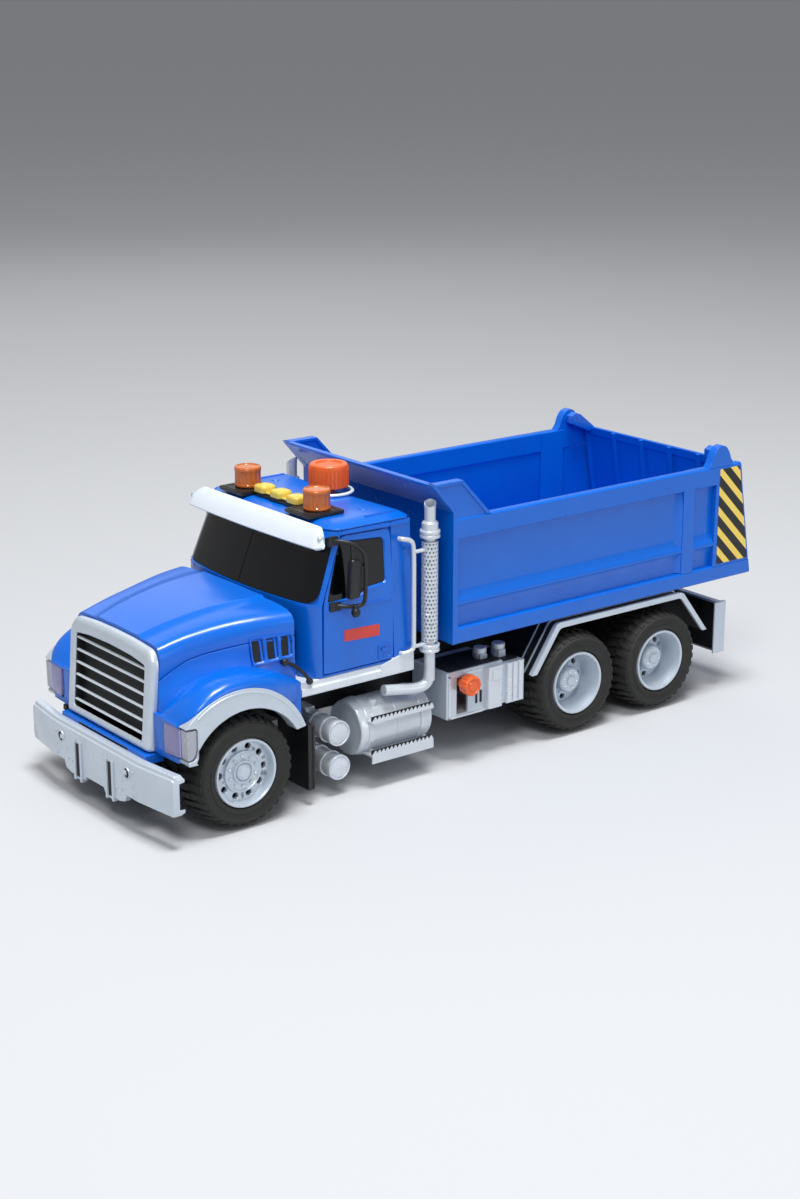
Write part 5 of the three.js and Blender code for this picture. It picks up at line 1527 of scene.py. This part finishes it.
def mirror():
    """A door mirror: a round bracket bent into a loop, a thin rounded head
    behind it, and a ball joint on the lower arm."""
    arm = swept(smoothed([(107.4, -57.0, 133.6), (110, -60.4, 134.2), (116, -64.8, 132.4),
                          (120.6, -66.6, 127.6), (121, -66.6, 120),
                          (120.8, -66.6, 104), (119.4, -66.2, 100.6), (114, -62.8, 100.0),
                          (109.4, -58.6, 100.4)], 3), 1.05, 14)
    head = rounded([(111.4, 104.6), (118.0, 104.6), (119.2, 124.2), (113.0, 125.2)],
                   [1.6, 1.6, 2.0, 2.0], 5)
    rows = []
    for y, s in ((-62.4, 0), (-62.4, 0.86), (-62.9, 0.97), (-63.6, 1), (-65.4, 1), (-66.1, 0.95),
                 (-66.3, 0.84), (-66.3, 0)):
        ring = head.mean(0) + (head - head.mean(0)) * s
        rows.append(np.stack([ring[:, 0], np.full(len(ring), y), ring[:, 1]], -1))
    shell = grid(np.array(rows), wrap_v=True)
    ball = turned([(0, -2.4), (1.2, -2.2), (2.1, -1.2), (2.4, 0), (2.1, 1.2), (1.2, 2.2), (0, 2.4)],
                  (115.6, -65.4, 97.4), "z", 24)
    neck = rod((115.6, -65.0, 0), 1.2, 98.6, 101.6, "z", 16)
    stays = [rod((0, -65.2, z), 0.8, 116.6, 121, "x", 12) for z in (108.4, 121.4)]
    plates = [prism(soft_panel(104.8, 131.2, 110.8, 136.0, 0.8, 3), -57.9, -56.2),
              prism(soft_panel(104.2, 98.0, 111.0, 102.6, 0.8, 3), -59.3, -57.6)]
    return [arm, shell, ball, neck, *stays, *plates]


pair("door_mirror", mirror(), BLACK, "mirror", bevel=0.15)


# ------------------------------------------------------------------ tanks and boxes


def toothed_step(z, drop):
    """A step: a plate with a riser at its outer edge, whose top is cut into
    saw teeth 2.6 mm apart."""
    count, pitch = 15, 2.6
    teeth = 126.6 + pitch * np.arange(count)
    peaks = np.stack([np.repeat(teeth, 2) + np.tile([0, 1.9], count), z + np.tile([0.2, 2.3], count)], -1)
    outline = np.concatenate([[(126, z - drop), (126, z + 0.2)], peaks, [(166, z + 0.2), (166, z - drop)]])
    return [prism(outline, -64.9, -64.0), block(126, 166, -64.2, -52, z - 1.2, z)]


def fuel_tank():
    """A fuel tank with dished ends, three bands, a filler cap and two steps
    with saw-tooth edges, on brackets."""
    x0, x1, r = 122.0, 168.0, 14.6
    body = turned([(0, x0 + 1.4), (8, x0 + 0.9), (12.2, x0 + 0.5), (13.4, x0), (14.2, x0 + 0.4),
                   (r, x0 + 1.6), (r, x0 + 22.6),
                   (r - 0.35, x0 + 22.9), (r - 0.35, x0 + 23.3), (r, x0 + 23.6), (r, x1 - 1.6),
                   (14.2, x1 - 0.4), (13.4, x1),
                   (12.2, x1 - 0.5), (0, x1 - 1.2)], TANK, "x", 64)
    bands = [turned([(r - 0.4, x), (r + 0.45, x), (r + 0.65, x + 0.3), (r + 0.65, x + 3.1),
                     (r + 0.45, x + 3.4), (r - 0.4, x + 3.4)],
                    TANK, "x", 64) for x in (126.6, 160.2)]
    cap = [rod((134.5, -53.4, 0), 2.5, 40.6, 44.6, "z", 24, 0.6)]
    steps = [*toothed_step(STEPS[0], 1.0), *toothed_step(STEPS[1], 4.6)]
    brackets = [prism([(-62.6, 17.6), (-61.4, 17.4), (-53, 19.6), (-53, 22), (-62.6, 18.8)], x, x + 1.6,
                      "x") for x in (128.6, 163)]
    brackets += [prism([(-62.6, 37.4), (-61.4, 38.0), (-54, 40.6), (-54, 38), (-62.6, 36.2)], x, x + 1.6,
                       "x") for x in (128.6, 163)]
    return [body, *bands, *cap, *steps, *brackets]


def step_backs():
    """A dark strip behind the teeth of each step: painted shade that shows in the gaps between the teeth."""
    return [prism([(126.4, z), (165.6, z), (165.6, z + 2.4), (126.4, z + 2.4)], -63.7, -63.2)
            for z in STEPS]


# the step strips are painted shade, black where the gaps between the teeth fall in shadow
piece("step_backs", both(*step_backs()), DEEP, "chassis", bevel=0.05)


def air_tanks():
    """Two round reservoirs that point outward, with rolled rims and shallow
    domed ends, on a plate."""
    tanks = []
    for z in AIR_TANKS:
        tanks.append(turned([(0, -60.0), (3.0, -59.9), (5.3, -59.4), (5.6, -59.0), (5.9, -59.6),
                             (6.5, -59.7), (6.7, -59.2),
                             (6.7, -57.0), (6.4, -56.7), (6.4, -33), (5.9, -32.0), (0, -31.2)],
                            (AIR_TANK_X, 0, z), n=56))
    plate = block(106, 112, -34, -24, 11.6, 40)
    straps = [turned([(6.2, y), (6.9, y), (6.9, y + 1.6), (6.2, y + 1.6)], (AIR_TANK_X, 0, z), n=40)
              for z in AIR_TANKS for y in (-52, -42)]
    return [*tanks, plate, *straps]


pair("fuel_tank_drum", fuel_tank(), BRIGHT, "fuel_tank", bevel=0.12)
pair("air_tank_drums", air_tanks(), BRIGHT, "air_tanks", bevel=0.12)


def box_details():
    """The raised work on a side box: a framed door, three clasps, upright ribs
    round the rear half and two filler necks on the lid."""
    face = BOX_FACE
    frame_bar = [block(180.2, 203.5, face - 0.5, face + 0.5, 47.2, 48.6),
                 block(180.2, 203.5, face - 0.5, face + 0.5, 24.1, 25.2),
                 block(180.2, 181.5, face - 0.5, face + 0.5, 24.2, 48.5)]
    ribs = [prism(rounded([(x, -63.4), (x + 3.7, -63.4), (x + 3.7, -59), (x, -59)], [1.5, 1.5, 0.2, 0.2],
                          4), 26.4, 48.6, "z")
            for x in (218.2, 222.2, 226.2)]
    bands = [prism([(218.0, -62.6), (230.1, -62.6), (230.1, -59), (218.0, -59)], z, z + 1.2, "z")
             for z in (26.0, 47.6)]
    clasps = [prism(rounded([(205.0, -63.2), (215.2, -63.2), (215.2, -59), (205.0, -59)],
                            [1.8, 1.8, 0.2, 0.2], 4), 25.6, 48.9, "z"),
              prism(soft_panel(207.4, 47.2, 212.8, 41.4, 1.0, 3), -63.8, -63)]
    necks = [turned([(0, 48.2), (3.2, 48.2), (3.2, 53.0), (3.7, 53.4), (3.7, 56.0), (3.2, 56.5), (0, 56.5)],
                    (x + 2.5, -49.5, 0), "z", 28)
             for x in (207.2, 220.2)]
    return frame_bar + ribs + bands + clasps + necks


from_cad("lift_box_shell", "lift_box_left", SILVER, "chassis", bevel=0.5)
from_cad("tool_box_shell", "tool_box_right", SILVER, "chassis", bevel=0.5)


def box_darks():
    """A black pad over a side box's lid, painted shade where the lid lies in shadow, and two vent slots in its face."""
    # the lid pads are painted shade: black plates over the boxes' tops
    lid = [prism(soft_panel(x0, -58.4, x1, -36, 1.5, 3), z, z + 0.6, "z")
           for x0, x1, z in ((181.0, 216.8, 49.9), (218.8, 229.4, 48.4))]
    vents = [prism(soft_panel(x, 29.4, x + 1.5, 36.4, 0.6, 3), -59.62, -59.2) for x in (198.6, 201.6)]
    return lid + vents


piece("box_darks", both(*box_darks()), DEEP, "chassis", bevel=0.1)
pair("box_trim", box_details(), BRIGHT, bevel=0.2)

# ------------------------------------------------------------------ mudguards and tail


def guard_path(inset, low=39.0, top=65.5):
    """The guard's line over both rear wheels, moved in by an inset."""
    return np.array([(233.0 + inset * 1.15, low), (251.2 + inset * 0.52, top - inset),
                     (346.1 - inset * 0.5, top - inset),
                     (366.5 - inset * 1.1, low + 0.5)])


def guard_band(inset0, inset1, y0, y1):
    """The strip between two insets of the guard's line, from y0 to y1."""
    outer, inner = guard_path(inset=inset0), guard_path(inset=inset1)
    outline = np.concatenate([rounded_open(outer), rounded_open(inner)[::-1]])
    return prism(outline, y0, y1)


def rounded_open(path):
    """An open line with its inner corners rounded."""
    reach, steps = 2.2, 4
    closed = rounded(path, [0.01, reach, reach, 0.01], steps)
    return np.concatenate([path[:1], closed[steps + 1:3 * (steps + 1)], path[-1:]])


def mudguards():
    """The left guard: its black shell, and its silver edges and lines."""
    black = [guard_band(1.0, 2.8, -65.4, -27.0)]
    silver = [guard_band(0.0, 3.2, -66.0, -64.2), guard_band(0.35, 1.6, -65.0, -62.4)]
    lines = [guard_band(0.3, 1.2, -58.6, -57.6), guard_band(0.3, 1.2, -52.4, -51.6)]
    return black, silver + lines


guard_black, guard_silver = mudguards()
pair("mudguard_shell", guard_black, BLACK, "mudguard", bevel=0.25)
pair("mudguard_edges", guard_silver, SILVER, bevel=0.25)


def rear_panel():
    """The rear panel: a plate with returned ends and rails, a framed number
    field and two round lamps at each side."""
    x0, x1 = 382.0, 386.0
    plate = block(x0 + 0.1, x0 + 2.2, -59.8, 59.8, 20.7, 51.1)
    rails = [block(x0 + 0.05, x1, -58.2, 58.2, z, z + 2.8) for z in (20.55, 48.45)]
    ends = [block(x0, x1 + 2.0, -60, -57.6, 20.5, 51.3),
            block(x0 - 3.0, x0 + 0.3, -60.05, -58.9, 20.45, 51.35)]
    hoods = [turned([(4.6, x0 + 1.8), (5.6, x0 + 1.8), (5.6, x1 + 0.6), (5.1, x1 + 1.0), (4.6, x1 + 0.6)],
                    (0, -y, 36), "x", 36)
             for y in TAIL_LAMPS]
    field = [block(x0 + 2, x0 + 3.4, -20, 20, 28, 29.2), block(x0 + 2, x0 + 3.4, -20, 20, 43, 44.2),
             block(x0 + 2.05, x0 + 3.35, -19.9, -18.8, 28.5, 43.7)]
    stays = [block(374, x0 + 0.4, -23.0, -20.0, 40, 48)]
    lamps = [turned([(0, x0 + 1.9), (4.5, x0 + 1.9), (4.5, x1 - 0.6), (3.2, x1 + 0.1), (0, x1 + 0.5)],
                    (0, -y, 36), "x", 32)
             for y in TAIL_LAMPS]
    backing = prism(soft_panel(-57.6, 22, 57.6, 50, 1.2, 3), x0 - 1.0, x0 + 0.2, "x")
    return [plate, *rails] + both(*ends, *hoods, *field), both(*lamps), [backing] + both(*stays)


panel, tail_lamps, backing = rear_panel()
piece("rear_panel_backing", backing, BLACK, "chassis", bevel=0.25)
piece("rear_panel_plate", panel, SILVER, "chassis", ["rear_light_bar"], bevel=0.3)
piece("rear_lamp_lenses", tail_lamps, AMBER, "chassis", bevel=0.1)

# ------------------------------------------------------------------ frame, lift and hidden parts

from_cad("chassis_ladder", "chassis_frame", BLACK, "chassis", bevel=0.35)


def lever_knob():
    """The lift lever's knob: a drum with twelve finger flutes, a stepped face and
    the neck that goes in through the slot."""
    x = LEVER[0] - LEVER_REACH * math.cos(LEVER_LIFT)
    z = LEVER[1] + LEVER_REACH * math.sin(LEVER_LIFT)
    n = 80
    angle = np.arange(n) * 2 * np.pi / n
    flute = 0.55 * np.abs(np.cos(angle * 6)) ** 0.6
    y0 = -61.6
    rows = []
    for r, y, ripple in ((0, -6.2, 0), (2.6, -6.2, 0), (2.9, -5.8, 0), (3.6, -5.8, 0), (3.9, -6.3, 0),
                         (4.6, -6.3, 0.4), (5.05, -5.6, 1),
                         (5.1, -1.0, 1), (4.8, -0.3, 1), (3.4, 0, 0), (2.4, 0, 0), (2.4, 7, 0), (0, 7, 0)):
        radius = r + ripple * flute
        rows.append(np.stack([x + radius * np.cos(angle), np.full(n, y0 + y),
                              z + radius * np.sin(angle)], -1))
    return [grid(np.array(rows), wrap_v=True)]


def lever_gear():
    """The lever inside the box: a toothed hub, whose radius steps between root
    and tip, and the arm that carries the knob."""
    (x, z), reach, teeth = LEVER, LEVER_REACH, 15
    angle = np.arange(teeth * 8) * 2 * np.pi / (teeth * 8)
    radius = np.where(np.cos(angle * teeth) > 0.1, 9.6, 8.0)
    outline = np.stack([x + radius * np.cos(angle), z + radius * np.sin(angle)], -1)
    along = np.array([-math.cos(LEVER_LIFT), math.sin(LEVER_LIFT)])
    across = np.array([along[1], -along[0]])
    spine = [(0, 4.6), (reach - 3, 3.0), (reach + 1.6, 2.4), (reach + 2.6, 0.9)]
    arm = [along * a + across * b for a, b in spine] + [along * a - across * b for a, b in spine[::-1]]
    arm = rounded(np.array(arm) + (x, z), 0.6, 3)
    return [prism(outline, -3, 3), prism(arm, -58.2, -53.2), rod((x, 0, z), 3, -57.6, 23.4, "y", 28)]


piece("lever_knob", lever_knob() + lever_gear(), ORANGE, "lever", ["lift_lever"], bevel=0)
from_cad("lift_arm_gear", "lift_arm", ORANGE, "arm", bevel=0.2)

PLAIN_CAD = {"lift_rack": BLACK, "bed_hinge_pin": STEEL, "button_spring": STEEL, "light_board": BOARD,
             "battery_pack": CELL, "battery_cover": BLACK, "front_axle": STEEL, "middle_axle": STEEL,
             "rear_axle": STEEL}
for name, material in PLAIN_CAD.items():
    slots = frame["nodes"][name].data.materials
    slots.clear()
    slots.append(material)


# the spring stays under the cap: it shortens towards its top end as the cap goes down
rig.squash(frame["nodes"]["button_spring"], "light_button_press", (0, 0, 1),
          place((BUTTON_X, 0, SPRING_TOP))[0],
          keep=SPRING_PRESSED)


def screws():
    """The two screws of the battery cover."""
    head = [(0, -0.9), (1.6, -0.9), (2.1, -0.4), (2.1, 1.0), (0, 1.0)]
    return [turned(head, (x, y, 33.0), "z", 20) for x, y in ((104.2, 0), (152.8, 0))]


piece("cover_screws", screws(), STEEL, "chassis", bevel=0)


def mud_flaps():
    """Ribbed rubber flaps behind the front wheels, on the frame's own plates."""
    flap = prism(soft_panel(-62.4, 7.6, -34.6, 43.0, 1.6, 3), 90.6, 91.8, "x")
    ribs = [block(91.4, 92.5, y, y + 1.4, 9.2, 41.4) for y in np.arange(-60.6, -36, 4.0)]
    return both(flap, *ribs)


piece("mud_flaps", mud_flaps(), RUBBER, "chassis", bevel=0.2)

# ------------------------------------------------------------------ floor and light


def studio():
    """A plain pale floor and four soft panels: one above and ahead, one low at
    the left side, one at the right and one behind."""
    floor = bpy.data.meshes.new("floor")
    wide, under = 60, LOW.z - 0.0005
    floor.from_pydata([(-wide, -wide, under), (wide, -wide, under), (wide, wide, under),
                       (-wide, wide, under)], [],
                      [(0, 1, 2, 3)])
    paper = bpy.data.materials.new("matt_paper")
    paper.use_nodes = True
    paper.node_tree.nodes["Principled BSDF"].inputs["Base Color"].default_value = linear("#C6C8CB")
    paper.node_tree.nodes["Principled BSDF"].inputs["Roughness"].default_value = 0.9
    floor.materials.append(paper)
    ground = bpy.data.objects.new("floor", floor)
    bpy.context.scene.collection.objects.link(ground)
    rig.stage(ground)
    for name, where, size, watts in (("key", (-0.9, -1.0, 1.6), 0.6, 13),
                                     ("side", (0.5, -1.7, 0.6), 0.6, 3),
                                     ("fill", (0.6, 1.5, 1.1), 1.2, 3),
                                     ("top", (-0.1, -0.25, 1.8), 0.5, 30)):
        light = bpy.data.lights.new(name, "AREA")
        light.shape, light.size, light.energy = "SQUARE", size, watts
        lamp = bpy.data.objects.new(name, light)
        bpy.context.scene.collection.objects.link(lamp)
        lamp.location = where
        lamp.rotation_mode = "QUATERNION"
        lamp.rotation_quaternion = (Vector((0, 0, 0.06)) - Vector(where)).to_track_quat("-Z", "Y")
    world = bpy.data.worlds.new("studio")
    world.use_nodes = True
    world.node_tree.nodes["Background"].inputs["Color"].default_value = linear("#E8E9EC")
    world.node_tree.nodes["Background"].inputs["Strength"].default_value = 0.38
    bpy.context.scene.world = world
    bpy.context.scene.view_settings.view_transform = "Standard"


studio()

low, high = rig.bounds()
with open("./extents.json", "w") as file:
    json.dump({"cad": [list(LOW), list(HIGH)], "visual": [list(low), list(high)]}, file)
